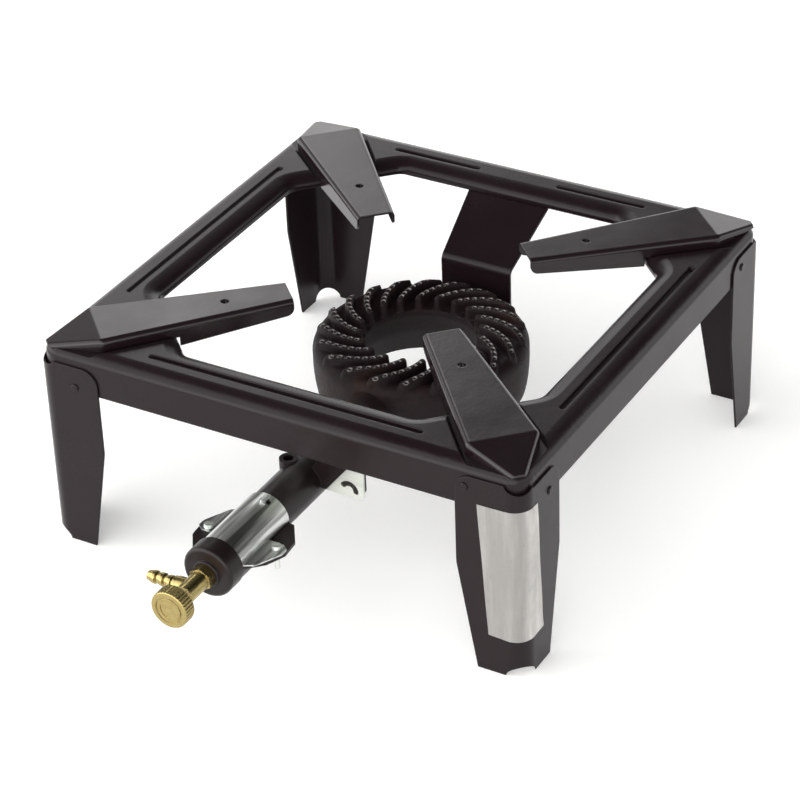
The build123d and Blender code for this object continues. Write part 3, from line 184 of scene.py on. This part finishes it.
def tube_paint():
    """Satin black paint on pipe and cast pieces, thin over the edges."""
    s = Shader("tube_paint")
    edge_normal = s.rounded(0.0009)
    edge = s.edges(edge_normal, 0.02, 0.4)
    patches = s.noise(26.0, 5.0, 0.6)
    grain = s.noise(520.0, 3.0, 0.55)
    drag = s.noise(40.0, 3.0, 0.5, s.mapped((9.0, 1.0, 9.0)))
    wear = s.math("MULTIPLY", edge, s.span(s.noise(120.0, 4.0, 0.6), 0.40, 0.64))
    colour = s.mix(patches, (0.0062, 0.0030, 0.0036), (0.0125, 0.0078, 0.0080))
    colour = s.mix(s.math("MULTIPLY", wear, 0.28), colour, (0.13, 0.12, 0.115))
    roughness = s.span(patches, 0.2, 0.8, 0.28, 0.42)
    roughness = s.math("ADD", roughness, s.math("MULTIPLY", s.math("SUBTRACT", drag, 0.5), 0.12))
    normal = s.bump(grain, 0.00012, 0.45, edge_normal)
    normal = s.bump(drag, 0.00010, 0.30, normal)
    return s.finish(colour, roughness, 0.0, normal, 1.34)


def cast_iron(name, light=1.0):
    """Blackened sand-cast iron: grainy skin, brown bloom in the hollows, greyer raised edges."""
    s = Shader(name)
    edge_normal = s.rounded(0.0008)
    edge = s.edges(edge_normal, 0.03, 0.4)
    skin = s.noise(900.0, 5.0, 0.65)
    lumps = s.noise(170.0, 3.0, 0.55)
    pits = s.span(s.cells(430.0), 0.22, 0.06)
    bloom = s.span(s.noise(38.0, 4.0, 0.6), 0.52, 0.74)
    wear = s.math("MULTIPLY", edge, s.span(s.noise(210.0, 3.0, 0.6), 0.35, 0.62))
    colour = s.mix(lumps, (0.0066 * light, 0.0028 * light, 0.0036 * light), (0.0145 * light, 0.0080 * light, 0.0090 * light))
    colour = s.mix(s.math("MULTIPLY", bloom, 0.5), colour, (0.034, 0.017, 0.012))
    colour = s.mix(s.math("MULTIPLY", pits, 0.5), colour, (0.004, 0.003, 0.003))
    colour = s.mix(s.math("MULTIPLY", wear, 0.5), colour, (0.075, 0.070, 0.068))
    roughness = s.span(skin, 0.25, 0.75, 0.46, 0.68)
    normal = s.bump(skin, 0.00022, 0.55, edge_normal)
    normal = s.bump(lumps, 0.00045, 0.45, normal)
    normal = s.bump(pits, 0.00020, -0.5, normal)
    return s.finish(colour, roughness, 0.0, normal, 1.28)


def drilled_iron():
    """Bright countersink left by the drill around every gas port."""
    s = Shader("drilled_iron")
    spots = s.noise(600.0, 3.0, 0.6)
    colour = s.mix(spots, (0.10, 0.092, 0.09), (0.26, 0.245, 0.24))
    roughness = s.span(spots, 0.2, 0.8, 0.34, 0.6)
    return s.finish(colour, roughness, 0.55, s.bump(s.noise(2600.0, 2.0), 0.00004, 0.5))


def painted_hole_shade():
    """Painted shade: dull black inside the gas ports and the burner's central bore."""
    s = Shader("painted_hole_shade")
    spots = s.noise(900.0, 3.0, 0.6)
    colour = s.mix(spots, (0.0048, 0.0020, 0.0026), (0.0120, 0.0058, 0.0066))
    return s.finish(colour, s.span(spots, 0.2, 0.8, 0.75, 0.95), 0.0, s.bump(spots, 0.0001, 0.5))


def zinc(name, along_y=True, tint=(0.0, 0.0, 0.0), rough=0.0, dull=0.0):
    """Bright zinc plating on rolled sheet: rolling streaks, pale passivation, a few dull spots; the dull argument sets
    how strongly dark lengthwise bands are painted on as a reflection.
    """
    s = Shader(name)
    edge_normal = s.rounded(0.0005)
    edge = s.edges(edge_normal, 0.02, 0.4)
    streaks = s.noise(34.0, 3.0, 0.55, s.mapped((9.0, 0.5, 9.0) if along_y else (0.5, 9.0, 9.0)))
    lines = s.noise(90.0, 3.0, 0.6, s.mapped((26.0, 1.0, 26.0) if along_y else (1.0, 26.0, 26.0)))
    clouds = s.noise(30.0, 3.0, 0.5)
    spots = s.span(s.noise(420.0, 3.0, 0.6), 0.66, 0.78)
    r, g, b = tint
    colour = s.mix(streaks, (0.58 + r, 0.60 + g, 0.585 + b), (0.86 + r, 0.87 + g, 0.855 + b))
    # Painted reflection: dark lengthwise bands, their strength set by dull
    painted_reflection_bands = s.span(s.noise(30.0, 2.0, 0.5, s.mapped((6.0, 0.25, 6.0), (0.0, 0.0, 0.31))), 0.42, 0.58)
    colour = s.mix(s.math("MULTIPLY", painted_reflection_bands, dull), colour, (0.15, 0.153, 0.148))
    colour = s.mix(s.math("MULTIPLY", spots, 0.22), colour, (0.46, 0.48, 0.45))
    colour = s.mix(s.math("MULTIPLY", edge, 0.4), colour, (0.90, 0.91, 0.90))
    roughness = s.span(clouds, 0.25, 0.75, 0.36 + rough, 0.47 + rough)
    roughness = s.math("ADD", roughness, s.math("MULTIPLY", spots, 0.10))
    roughness = s.math("ADD", roughness, s.math("MULTIPLY", s.math("SUBTRACT", lines, 0.5), 0.12), clamp=True)
    normal = s.bump(streaks, 0.00010, 0.30, edge_normal)
    normal = s.bump(lines, 0.00003, 0.25, normal)
    return s.finish(colour, roughness, 1.0, normal, 1.5)


def brass(name, turned_y=True):
    """Machined yellow brass: lathe lines around the axis, brown tarnish in the hollows."""
    s = Shader(name)
    edge_normal = s.rounded(0.0004)
    edge = s.edges(edge_normal, 0.02, 0.4)
    split = s.add("ShaderNodeSeparateXYZ")
    s.link(s.mapped((1, 1, 1), (0, 0, -0.0864)), split.inputs[0])
    if turned_y:
        x, y = split.outputs["X"], split.outputs["Z"]
        axis = split.outputs["Y"]
    else:
        x, y = s.math("ADD", split.outputs["Y"], 0.3115), split.outputs["Z"]
        axis = split.outputs["X"]
    radius = s.math("SQRT", s.math("ADD", s.math("MULTIPLY", x, x), s.math("MULTIPLY", y, y)))
    lathe = s.add("ShaderNodeCombineXYZ")
    s.link(radius, lathe.inputs[0])
    s.link(axis, lathe.inputs[1])
    lines = s.noise(2600.0, 2.0, 0.5, lathe.outputs[0])
    broad = s.noise(420.0, 3.0, 0.55, lathe.outputs[0])
    tarnish = s.span(s.noise(130.0, 5.0, 0.65), 0.46, 0.72)
    stains = s.span(s.noise(420.0, 3.0, 0.6), 0.58, 0.76)
    colour = s.mix(broad, (0.32, 0.25, 0.088), (0.50, 0.405, 0.18))
    colour = s.mix(s.math("MULTIPLY", tarnish, 0.55), colour, (0.34, 0.245, 0.085))
    colour = s.mix(s.math("MULTIPLY", stains, 0.30), colour, (0.20, 0.145, 0.055))
    colour = s.mix(s.math("MULTIPLY", edge, 0.40), colour, (0.84, 0.75, 0.46))
    roughness = s.span(tarnish, 0.0, 1.0, 0.24, 0.42)
    roughness = s.math("ADD", roughness, s.math("MULTIPLY", s.math("SUBTRACT", lines, 0.5), 0.14), clamp=True)
    normal = s.bump(lines, 0.00003, 0.45, edge_normal)
    normal = s.bump(tarnish, 0.00003, 0.3, normal)
    return s.finish(colour, roughness, 1.0, normal, 1.5)


def seal_rubber():
    """Black nitrile ring: dull, faintly dusty."""
    s = Shader("seal_rubber")
    grain = s.noise(1400.0, 3.0, 0.6)
    colour = s.mix(grain, (0.012, 0.011, 0.011), (0.030, 0.028, 0.027))
    return s.finish(colour, s.span(grain, 0.2, 0.8, 0.55, 0.75), 0.0, s.bump(grain, 0.00004, 0.5), 1.5)


def blank_foil():
    """Plain aluminised label stock: creamy grey lacquer, soft upright creases, scuffed rim, and a painted shade over
    the front face.
    """
    s = Shader("blank_foil")
    upright = s.noise(150.0, 4.0, 0.6, s.mapped((1.0, 1.0, 0.10)))
    mottled = s.noise(85.0, 5.0, 0.68, s.mapped((1.0, 1.0, 0.7)))
    scuffs = s.span(s.noise(420.0, 4.0, 0.65, s.mapped((1.0, 1.0, 0.35))), 0.60, 0.78)
    colour = s.mix(mottled, (0.24, 0.23, 0.22), (0.60, 0.585, 0.56))
    colour = s.mix(s.math("MULTIPLY", s.span(upright, 0.42, 0.70), 0.45), colour, (0.74, 0.725, 0.70))
    colour = s.mix(s.math("MULTIPLY", scuffs, 0.55), colour, (0.20, 0.193, 0.187))
    # Painted shade: the label's front face, below Y = -0.19, is darkened, fading out across the bend
    place = s.add("ShaderNodeSeparateXYZ")
    s.link(s.coord, place.inputs[0])
    painted_front_shade = s.math("MULTIPLY", s.span(place.outputs["Y"], -0.1985, -0.1900, 0.72, 0.0), s.span(mottled, 0.2, 0.8, 0.75, 1.0))
    colour = s.mix(painted_front_shade, colour, (0.125, 0.118, 0.112))
    roughness = s.span(upright, 0.25, 0.75, 0.34, 0.52)
    normal = s.bump(upright, 0.00020, 0.45)
    normal = s.bump(mottled, 0.00025, 0.25, normal)
    return s.finish(colour, roughness, 0.25, normal, 1.45)


ENAMEL = black_enamel("black_enamel")
ENAMEL_GLOSS = black_enamel("black_enamel_gloss", 1.45, -0.06)
PAINT = tube_paint()
IRON = cast_iron("cast_iron")
DRILLED = drilled_iron()
HOLE_SHADE = painted_hole_shade()
# dull=0.8 paints dark reflection bands along the sleeve
ZINC = zinc("zinc_sheet", rough=-0.08, dull=0.8)
ZINC_PLATE = zinc("zinc_plate", along_y=False, tint=(-0.05, -0.045, -0.085), rough=-0.02)
ZINC_SCREW = zinc("zinc_fasteners", tint=(-0.06, -0.04, -0.06))
BRASS = brass("brass_turned")
BRASS_NOZZLE = brass("brass_nozzle", turned_y=False)
RUBBER = seal_rubber()
FOIL = blank_foil()

FINISH = {
    "pot_support_front_left": ENAMEL_GLOSS,
    "pot_support_front_right": ENAMEL_GLOSS,
    "pot_support_rear_left": ENAMEL_GLOSS,
    "pot_support_rear_right": ENAMEL_GLOSS,
    "rear_bracket_screws": ZINC_SCREW,
    "front_bracket": ZINC_PLATE,
    "front_bracket_screw": ZINC_SCREW,
    "burner_casting": IRON,
    "burner_bottom_plate": IRON,
    "bottom_plate_screws": ZINC_SCREW,
    "mixing_tube": PAINT,
    "injector_holder": PAINT,
    "injector": BRASS,
    "shutter_cover": ZINC,
    "shutter_cradle": PAINT,
    "shutter_screws": ZINC_SCREW,
    "shutter_nuts": ZINC_SCREW,
    "valve_body": BRASS,
    "hose_nozzle": BRASS_NOZZLE,
    "gland_nut": BRASS,
    "valve_spindle": BRASS,
    "spindle_seal": RUBBER,
    "valve_knob": BRASS,
    "blank_label": FOIL,
}
for name, node in NODES.items():
    node.data.materials.clear()
    node.data.materials.append(FINISH.get(name, ENAMEL))


# ---------------------------------------------------------------------------
# Mesh helpers
# ---------------------------------------------------------------------------
def new_object(name, verts, faces, materials, smooth_angle=35.0):
    mesh = bpy.data.meshes.new(name)
    mesh.from_pydata([tuple(v) for v in verts], [], faces)
    mesh.validate()
    for m in materials:
        mesh.materials.append(m)
    obj = bpy.data.objects.new(name, mesh)
    SCENE.collection.objects.link(obj)
    smooth(obj, smooth_angle)
    return obj


def smooth(obj, angle):
    mesh = obj.data
    bm = bmesh.new()
    bm.from_mesh(mesh)
    bmesh.ops.recalc_face_normals(bm, faces=bm.faces)
    bm.to_mesh(mesh)
    bm.free()
    mesh.shade_smooth()
    mesh.set_sharp_from_angle(angle=math.radians(angle))


def rings_to_mesh(rings, closed_profile):
    """Quads between rings of equal length; the rings are closed loops."""
    count = len(rings[0])
    verts = [p for ring in rings for p in ring]
    faces = []
    total = len(rings)
    for i in range(total if closed_profile else total - 1):
        a, b = i * count, ((i + 1) % total) * count
        for j in range(count):
            k = (j + 1) % count
            faces.append((a + j, a + k, b + k, b + j))
    return verts, faces


def boolean(target, tool, operation):
    mod = target.modifiers.new("cut", "BOOLEAN")
    mod.operation = operation
    mod.object = tool
    mod.solver = "MANIFOLD"
    bpy.context.view_layer.update()
    graph = bpy.context.evaluated_depsgraph_get()
    mesh = bpy.data.meshes.new_from_object(target.evaluated_get(graph))
    target.modifiers.clear()
    old = target.data
    target.data = mesh
    bpy.data.meshes.remove(old)
    old_tool = tool.data
    bpy.data.objects.remove(tool)
    bpy.data.meshes.remove(old_tool)


# ---------------------------------------------------------------------------
# Burner: one casting with swept grooves, rounded lands and drilled ports
# ---------------------------------------------------------------------------
BURN_Y, BURN_R, HOLE_R = 16.0, 83.5, 44.0
BOTTOM, TOP, FLOOR, RIM = 66.4, 118.9, 107.9, 9.0
RISE_R, RIM_TOP = 63.0, 112.4
FLARE_R, FLARE_Z = 56.0, 91.0
LANDS, LAND_ANGLE, REF_R, SWEEP, CURVE = 20, 17.5, 62.0, 0.95, 0.004
LAND_HALF, LAND_IN, LAND_OUT = 2.9, 47.2, 78.4
PORTS, PORT_IN, PORT_OUT, PORT_R = 7, 50.6, 76.4, 1.2
TUBE_Z = 86.4


def sweep_angle(r):
    d = r - REF_R
    return math.radians(-SWEEP * d - CURVE * d * d)


def swept(turn, r):
    a = math.radians(LAND_ANGLE + 360.0 * turn / LANDS) + sweep_angle(r)
    return r * math.cos(a), BURN_Y + r * math.sin(a)


def slant(r):
    """Cosine of the angle between a groove and the radius."""
    return math.cos(math.atan(r * math.radians(SWEEP + 2 * CURVE * (r - REF_R))))


def land_z(r):
    """Top of a land, which falls away towards the rim."""
    if r <= 71.0:
        return TOP
    return TOP - 7.6 * min(1.0, (r - 71.0) / 12.6) ** 1.72


def shelf_z(r):
    """Shelf between the lands, with a rounded rim."""
    flat = BURN_R - RIM
    if r <= RISE_R:
        return FLOOR
    if r <= flat:
        return FLOOR + (RIM_TOP - FLOOR) * (r - RISE_R) / (flat - RISE_R)
    return RIM_TOP - RIM + math.sqrt(max(0.0, RIM ** 2 - (r - flat) ** 2))


def land_share(d):
    """Share of the land's height, against the distance outside its edge."""
    if d <= -1.5:
        return 1.0
    if d <= -0.25:
        return 1.0 - 0.14 * ((d + 1.5) / 1.25) ** 2
    if d <= 0.45:
        return 0.86 - 0.76 * (d + 0.25) / 0.70
    if d <= 1.9:
        return 0.10 * (1 - (d - 0.45) / 1.45) ** 2
    return 0.0


def build_burner():
    near = [LAND_IN + (LAND_OUT - LAND_IN) * i / 90.0 for i in range(91)]
    lines = np.array([[swept(k, r) for r in near] for k in range(LANDS)])

    def land_columns(r):
        c = slant(r)
        half = r * math.pi / LANDS * c
        offsets = [0.0, 0.8, 1.4, 1.9, 2.3, 2.65, 2.9, 3.12, 3.35, 3.75, 4.3]
        last = offsets[-1]
        offsets += [last + (half - last) * 0.5]
        angles = []
        for s in offsets[::-1]:
            angles.append(-s / (r * c))
        for s in offsets[1:]:
            angles.append(s / (r * c))
        angles.append(half / (r * c))
        return angles

    def ring_angles(r):
        out = []
        steps = land_columns(r)
        for k in range(LANDS):
            base = math.radians(LAND_ANGLE + 360.0 * k / LANDS) + sweep_angle(r)
            out += [base + a for a in steps]
        return out

    def top_ring(r, drop=0.0):
        low, high = shelf_z(r), land_z(r)
        points = []
        angles = ring_angles(r)
        per = len(angles) // LANDS
        for j, a in enumerate(angles):
            x, y = r * math.cos(a), BURN_Y + r * math.sin(a)
            k = j // per
            d = min(
                float(np.min(np.hypot(lines[m % LANDS, :, 0] - x, lines[m % LANDS, :, 1] - y)))
                for m in (k - 1, k, k + 1)) - LAND_HALF
            points.append((x, y, low + max(0.0, high - low) * land_share(d) - drop))
        return points

    def plain_ring(r, z, like):
        return [(r * math.cos(a), BURN_Y + r * math.sin(a), z) for a in ring_angles(like)]

    rings = []
    inner_top = top_ring(HOLE_R, 1.0)
    for r, z in ((FLARE_R, BOTTOM), (53.0, 72.5), (50.0, 78.7), (47.0, 84.8), (44.9, 89.0), (HOLE_R, 92.0), (HOLE_R, 98.0), (HOLE_R, 103.0)):
        rings.append(plain_ring(r, z, HOLE_R))
    rings.append(inner_top)
    for r, drop in ((44.15, 0.62), (44.4, 0.30), (44.75, 0.10), (45.15, 0.0), (45.6, 0.0), (46.1, 0.0), (46.7, 0.0), (47.4, 0.0), (48.4, 0.0),
                    (50.0, 0.0), (52.0, 0.0), (54.5, 0.0), (57.0, 0.0), (59.5, 0.0), (62.0, 0.0), (64.5, 0.0), (67.0, 0.0), (69.0, 0.0),
                    (71.0, 0.0), (72.5, 0.0), (73.6, 0.0), (74.5, 0.0), (75.4, 0.0), (76.2, 0.0), (76.9, 0.0), (77.5, 0.0), (78.0, 0.0),
                    (78.4, 0.0), (78.8, 0.0), (79.2, 0.0), (79.6, 0.0), (80.0, 0.0), (80.4, 0.0), (80.8, 0.0), (81.2, 0.0), (81.6, 0.0),
                    (82.0, 0.0), (82.4, 0.0), (82.8, 0.0), (83.1, 0.0), (83.3, 0.0), (83.44, 0.0), (83.5, 0.0)):
        rings.append(top_ring(r, drop))
    # outer wall, foot chamfer and the rebate that holds the bottom plate
    for r, z in ((83.5, 95.5), (83.4, 91.0), (83.1, 85.5), (82.5, 79.4), (81.6, 73.4), (80.5, 68.4), (79.9, 67.3), (78.5, 66.4), (77.3, 66.4), (77.3, 68.42)):
        rings.append(plain_ring(r, z, BURN_R))
    for share in (0.25, 0.5, 0.75):
        rings.append(plain_ring(77.3 + (60.1 - 77.3) * share, 68.42, BURN_R + (HOLE_R - BURN_R) * share))
    rings.append(plain_ring(60.1, 68.42, HOLE_R))
    rings.append(plain_ring(60.1, 66.4, HOLE_R))
    rings.append(plain_ring(57.2, 66.4, HOLE_R))
    verts, faces = rings_to_mesh(rings, True)
    # the third material is painted shade for the bore and the port walls
    body = new_object("burner_iron", verts, faces, [IRON, DRILLED, HOLE_SHADE])

    # neck with a rolled front edge
    profile = [(-62.0, 17.1), (-79.2, 17.1), (-80.0, 17.9), (-80.0, 18.6), (-79.4, 19.5), (-78.2, 20.0), (-70.0, 20.0), (-66.0, 20.6), (-63.0, 22.0), (-60.0, 22.0), (-60.0, 0.5), (-62.0, 0.5)]
    neck_rings = []
    for y, r in profile:
        neck_rings.append([(r * math.cos(2 * math.pi * i / 72), y, TUBE_Z + r * math.sin(2 * math.pi * i / 72)) for i in range(72)])
    verts, faces = rings_to_mesh(neck_rings, True)
    neck = new_object("burner_neck", verts, faces, [IRON])
    boolean(body, neck, "UNION")

    # lugs for the rear bracket
    for side in (-18.0, 18.0):
        outline = []
        for i in range(25):
            a = math.pi * i / 24
            outline.append((side + 6.5 * math.cos(a), 96.5 + 6.5 * math.sin(a)))
        outline += [(side - 6.5, 86.0), (side + 6.5, 86.0)]
        lug_rings = []
        for z, inset in ((64.4, 0.8), (65.2, 0.0), (79.8, 0.0), (80.9, 0.4), (81.4, 1.3)):
            ring = []
            for x, y in outline:
                dx, dy = x - side, y - 92.0
                length = math.hypot(dx, dy)
                ring.append((x - dx / length * inset, y - dy / length * inset, z))
            lug_rings.append(ring)
        verts, faces = rings_to_mesh(lug_rings, False)
        n = len(outline)
        faces.append(tuple(range(n - 1, -1, -1)))
        faces.append(tuple(range(len(verts) - n, len(verts))))
        lug = new_object("burner_lug", verts, faces, [IRON])
        boolean(body, lug, "UNION")

    # countersunk gas ports
    ports = [swept(k, PORT_IN + p * (PORT_OUT - PORT_IN) / (PORTS - 1)) for k in range(LANDS) for p in range(PORTS)]
    verts, faces = [], []
    for x, y in ports:
        z = land_z(math.hypot(x, y - BURN_Y))
        start = len(verts)
        shape = ((PORT_R, z - 9.0), (PORT_R, z - 0.80), (2.10, z + 0.05), (2.55, z + 3.0))
        for r, h in shape:
            for i in range(14):
                a = 2 * math.pi * i / 14
                verts.append((x + r * math.cos(a), y + r * math.sin(a), h))
        for s in range(len(shape) - 1):
            for i in range(14):
                k = (i + 1) % 14
                faces.append((start + s * 14 + i, start + s * 14 + k, start + (s + 1) * 14 + k, start + (s + 1) * 14 + i))
        faces.append(tuple(start + i for i in range(13, -1, -1)))
        faces.append(tuple(start + (len(shape) - 1) * 14 + i for i in range(14)))
    drills = new_object("burner_drills", verts, faces, [IRON])
    boolean(body, drills, "DIFFERENCE")

    where = np.array(ports)
    mesh = body.data
    # Painted shade: faces inside the central bore and on the port walls get the dark hole material (index 2);
    # countersink faces get the drilled material (index 1)
    for poly in mesh.polygons:
        c = poly.center
        if c.z < 102.0:
            if math.hypot(c.x, c.y - BURN_Y) < FLARE_R and c.z > BOTTOM + 0.1:
                poly.material_index = 2
            continue
        gap = float(np.min(np.hypot(where[:, 0] - c.x, where[:, 1] - c.y)))
        if gap < PORT_R + 0.02:
            poly.material_index = 2
        elif gap < 2.08 and poly.normal.z < 0.97:
            poly.material_index = 1 if gap < 2.05 else 0
    mesh.transform(Matrix.Scale(MM, 4))
    smooth(body, 40.0)
    return body


burner = build_burner()
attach(burner, "stove")
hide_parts("burner_casting")


# ---------------------------------------------------------------------------
# Blank label: creased foil wrapped around the bend of the front right leg
# ---------------------------------------------------------------------------
def build_label():
    outer, bend = 201.5, 14.0
    columns, rows = 72, 120
    rng = np.random.default_rng(7)
    creases = [(0.06 + 0.88 * (i + 0.5) / 11 + rng.uniform(-0.025, 0.025), rng.uniform(0.010, 0.022), rng.uniform(-0.10, 0.26), rng.uniform(0.0, 0.5)) for i in range(11)]
    outside, inside = [], []
    for j in range(rows + 1):
        t = j / rows
        z = 140.3 + (31.5 - 140.3) * t
        for i in range(columns + 1):
            u = i / columns
            # the foil's ends, a little askew on the leg
            zz = z - 0.9 * math.sin(math.pi * u) * (1 if t > 0.5 else -0.4) * abs(t - 0.5) * 2
            left = 165.2 + (172.6 - 165.2) * t
            right = -181.3 + (-174.4 + 181.3) * t
            centre = outer - bend
            front = centre - left
            arc = bend * math.pi / 2
            side = centre + right
            s = u * (front + arc + side)
            if s < front:
                p, n = Vector((left + s, -outer, zz)), Vector((0, -1, 0))
            elif s < front + arc:
                a = (s - front) / bend
                n = Vector((math.sin(a), -math.cos(a), 0))
                p = Vector((centre, -centre, zz)) + n * bend
            else:
                p, n = Vector((outer, -centre + (s - front - arc), zz)), Vector((1, 0, 0))
            lift = 0.16
            for at, width, height, low in creases:
                fade = min(1.0, max(0.0, (t - low) / 0.25)) * (0.6 + 0.4 * math.sin(9.0 * t + 17.0 * at))
                lift += height * fade * math.exp(-((u - at - 0.012 * math.sin(5 * t + 30 * at)) / width) ** 2)
            edge = min(u, 1 - u, t * 2.0, (1 - t) * 2.0)
            lift += 0.30 * math.exp(-edge / 0.02) * (0.5 + 0.5 * math.sin(11.0 * t + 6.0 * u))
            corner = math.hypot((1 - u) / 0.16, (1 - t) / 0.07)
            lift += 0.5 * math.exp(-corner * corner)
            lift = max(0.07, lift)
            outside.append((p + n * lift) * MM)
            inside.append((p + n * (lift - 0.06)) * MM)
    w = columns + 1
    count = len(outside)
    faces = []
    for j in range(rows):
        for i in range(columns):
            a, b, c, d = j * w + i, j * w + i + 1, (j + 1) * w + i + 1, (j + 1) * w + i
            faces.append((a, d, c, b))
            faces.append((a + count, b + count, c + count, d + count))
    rim = [i for i in range(w)] + [j * w + columns for j in range(1, rows + 1)]
    rim += [rows * w + i for i in range(columns - 1, -1, -1)] + [j * w for j in range(rows - 1, 0, -1)]
    for i, a in enumerate(rim):
        b = rim[(i + 1) % len(rim)]
        faces.append((a, b, b + count, a + count))
    return new_object("label_foil", outside + inside, faces, [FOIL], 50.0)


label = build_label()
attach(label, "stove")
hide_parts("blank_label")


# ---------------------------------------------------------------------------
# Stage, light and camera
# ---------------------------------------------------------------------------
def floor_material():
    s = Shader("pale_floor")
    soft = s.noise(1.3, 3.0, 0.5)
    colour = s.mix(soft, (0.86, 0.86, 0.855), (0.89, 0.89, 0.885))
    s.bsdf.inputs["Emission Color"].default_value = (1.0, 1.0, 0.995, 1.0)
    s.bsdf.inputs["Emission Strength"].default_value = 0.24
    return s.finish(colour, s.span(soft, 0.3, 0.7, 0.72, 0.82), 0.0, s.bump(s.noise(420.0, 2.0), 0.00005, 0.2))


floor = new_object("floor", [(-6, -6, -0.0004), (6, -6, -0.0004), (6, 6, -0.0004), (-6, 6, -0.0004)], [(0, 1, 2, 3)], [floor_material()])

# surroundings: pale sweep near the horizon, shaded higher up behind on the right, dim ceiling, bright left and front left
world = bpy.data.worlds.new("studio")
SCENE.world = world
world.use_nodes = True
tree = world.node_tree
tree.nodes.clear()


def w_node(kind, **settings):
    node = tree.nodes.new(kind)
    for key, value in settings.items():
        setattr(node, key, value)
    return node


def w_span(value, low, high, to_low, to_high):
    node = w_node("ShaderNodeMapRange", interpolation_type="SMOOTHSTEP")
    tree.links.new(value, node.inputs["Value"])
    for key, number in (("From Min", low), ("From Max", high), ("To Min", to_low), ("To Max", to_high)):
        node.inputs[key].default_value = number
    return node.outputs["Result"]


def w_math(operation, a, b):
    node = w_node("ShaderNodeMath", operation=operation)
    tree.links.new(a, node.inputs[0])
    tree.links.new(b, node.inputs[1])
    return node.outputs[0]


w_out = w_node("ShaderNodeOutputWorld")
w_back = w_node("ShaderNodeBackground")
w_dir = w_node("ShaderNodeTexCoord").outputs["Generated"]
w_split = w_node("ShaderNodeSeparateXYZ")
tree.links.new(w_dir, w_split.inputs[0])
height = w_split.outputs["Z"]
leftward = w_node("ShaderNodeVectorMath", operation="DOT_PRODUCT")
tree.links.new(w_dir, leftward.inputs[0])
leftward.inputs[1].default_value = (-0.95, 0.31, 0.0)
leftward = leftward.outputs["Value"]


def w_toward(x, y):
    node = w_node("ShaderNodeVectorMath", operation="DOT_PRODUCT")
    tree.links.new(w_dir, node.inputs[0])
    node.inputs[1].default_value = (x, y, 0.0)
    return node.outputs["Value"]


sweep = w_math("MULTIPLY", w_span(height, 0.385, 0.46, 1.9, 0.30), w_span(leftward, 0.50, 0.75, 1.0, 0.58))
ceiling = w_span(height, 0.56, 0.86, 1.0, 0.25)
shaded = w_math("MULTIPLY", w_span(w_toward(0.72, 0.69), 0.42, 0.68, 0.0, 1.0), w_span(height, 0.26, 0.50, 0.0, 1.0))
shade = w_span(shaded, 0.0, 1.0, 1.0, 0.12)
strip = w_math("MULTIPLY", w_span(leftward, 0.59, 0.71, 0.0, 3.75), w_span(height, 0.535, 0.59, 1.0, 0.12))
strip = w_math("MULTIPLY", strip, w_span(leftward, 0.735, 0.80, 1.0, 0.12))
strip = w_math("MULTIPLY", strip, w_span(height, 0.40, 0.52, 0.20, 1.0))
front = w_math("MULTIPLY", w_span(w_toward(-0.45, -0.89), 0.22, 0.42, 0.0, 2.2), w_span(height, 0.815, 0.875, 1.0, 0.0))
glow = w_math("ADD", w_math("MULTIPLY", w_math("MULTIPLY", sweep, ceiling), shade), w_math("ADD", strip, front))
tree.links.new(glow, w_back.inputs["Strength"])
w_back.inputs["Color"].default_value = (1.0, 0.995, 0.985, 1.0)
tree.links.new(w_back.outputs[0], w_out.inputs["Surface"])


def softbox(name, place, target, size, radiance, reflected=True):
    data = bpy.data.lights.new(name, "AREA")
    data.shape = "RECTANGLE"
    data.size, data.size_y = size
    data.energy = radiance * math.pi * size[0] * size[1]
    lamp = bpy.data.objects.new(name, data)
    SCENE.collection.objects.link(lamp)
    direction = Vector(target) - Vector(place)
    lamp.matrix_world = Matrix.Translation(Vector(place)) @ direction.to_track_quat("-Z", "Y").to_matrix().to_4x4()
    lamp.visible_glossy = reflected
    lamp.visible_camera = False
    return lamp


softbox("overhead", (0.0, 0.0, 2.6), (0, 0, 0), (3.8, 3.8), 0.55, reflected=False)

cam_data = bpy.data.cameras.new("camera")
cam_data.sensor_fit = "HORIZONTAL"
cam_data.sensor_width = 36.0
cam_data.lens = 130.31
cam_data.clip_end = 50.0
camera = bpy.data.objects.new("camera", cam_data)
SCENE.collection.objects.link(camera)
camera.matrix_world = Matrix((
    (0.87112, -0.24065, 0.42810, 0.9490),
    (0.49006, 0.48243, -0.72603, -1.6284),
    (-0.03181, 0.84225, 0.53818, 1.2660),
    (0.0, 0.0, 0.0, 1.0)))
SCENE.camera = camera
SCENE.view_settings.view_transform = "Standard"
SCENE.view_settings.look = "None"
SCENE.view_settings.exposure = 0.0
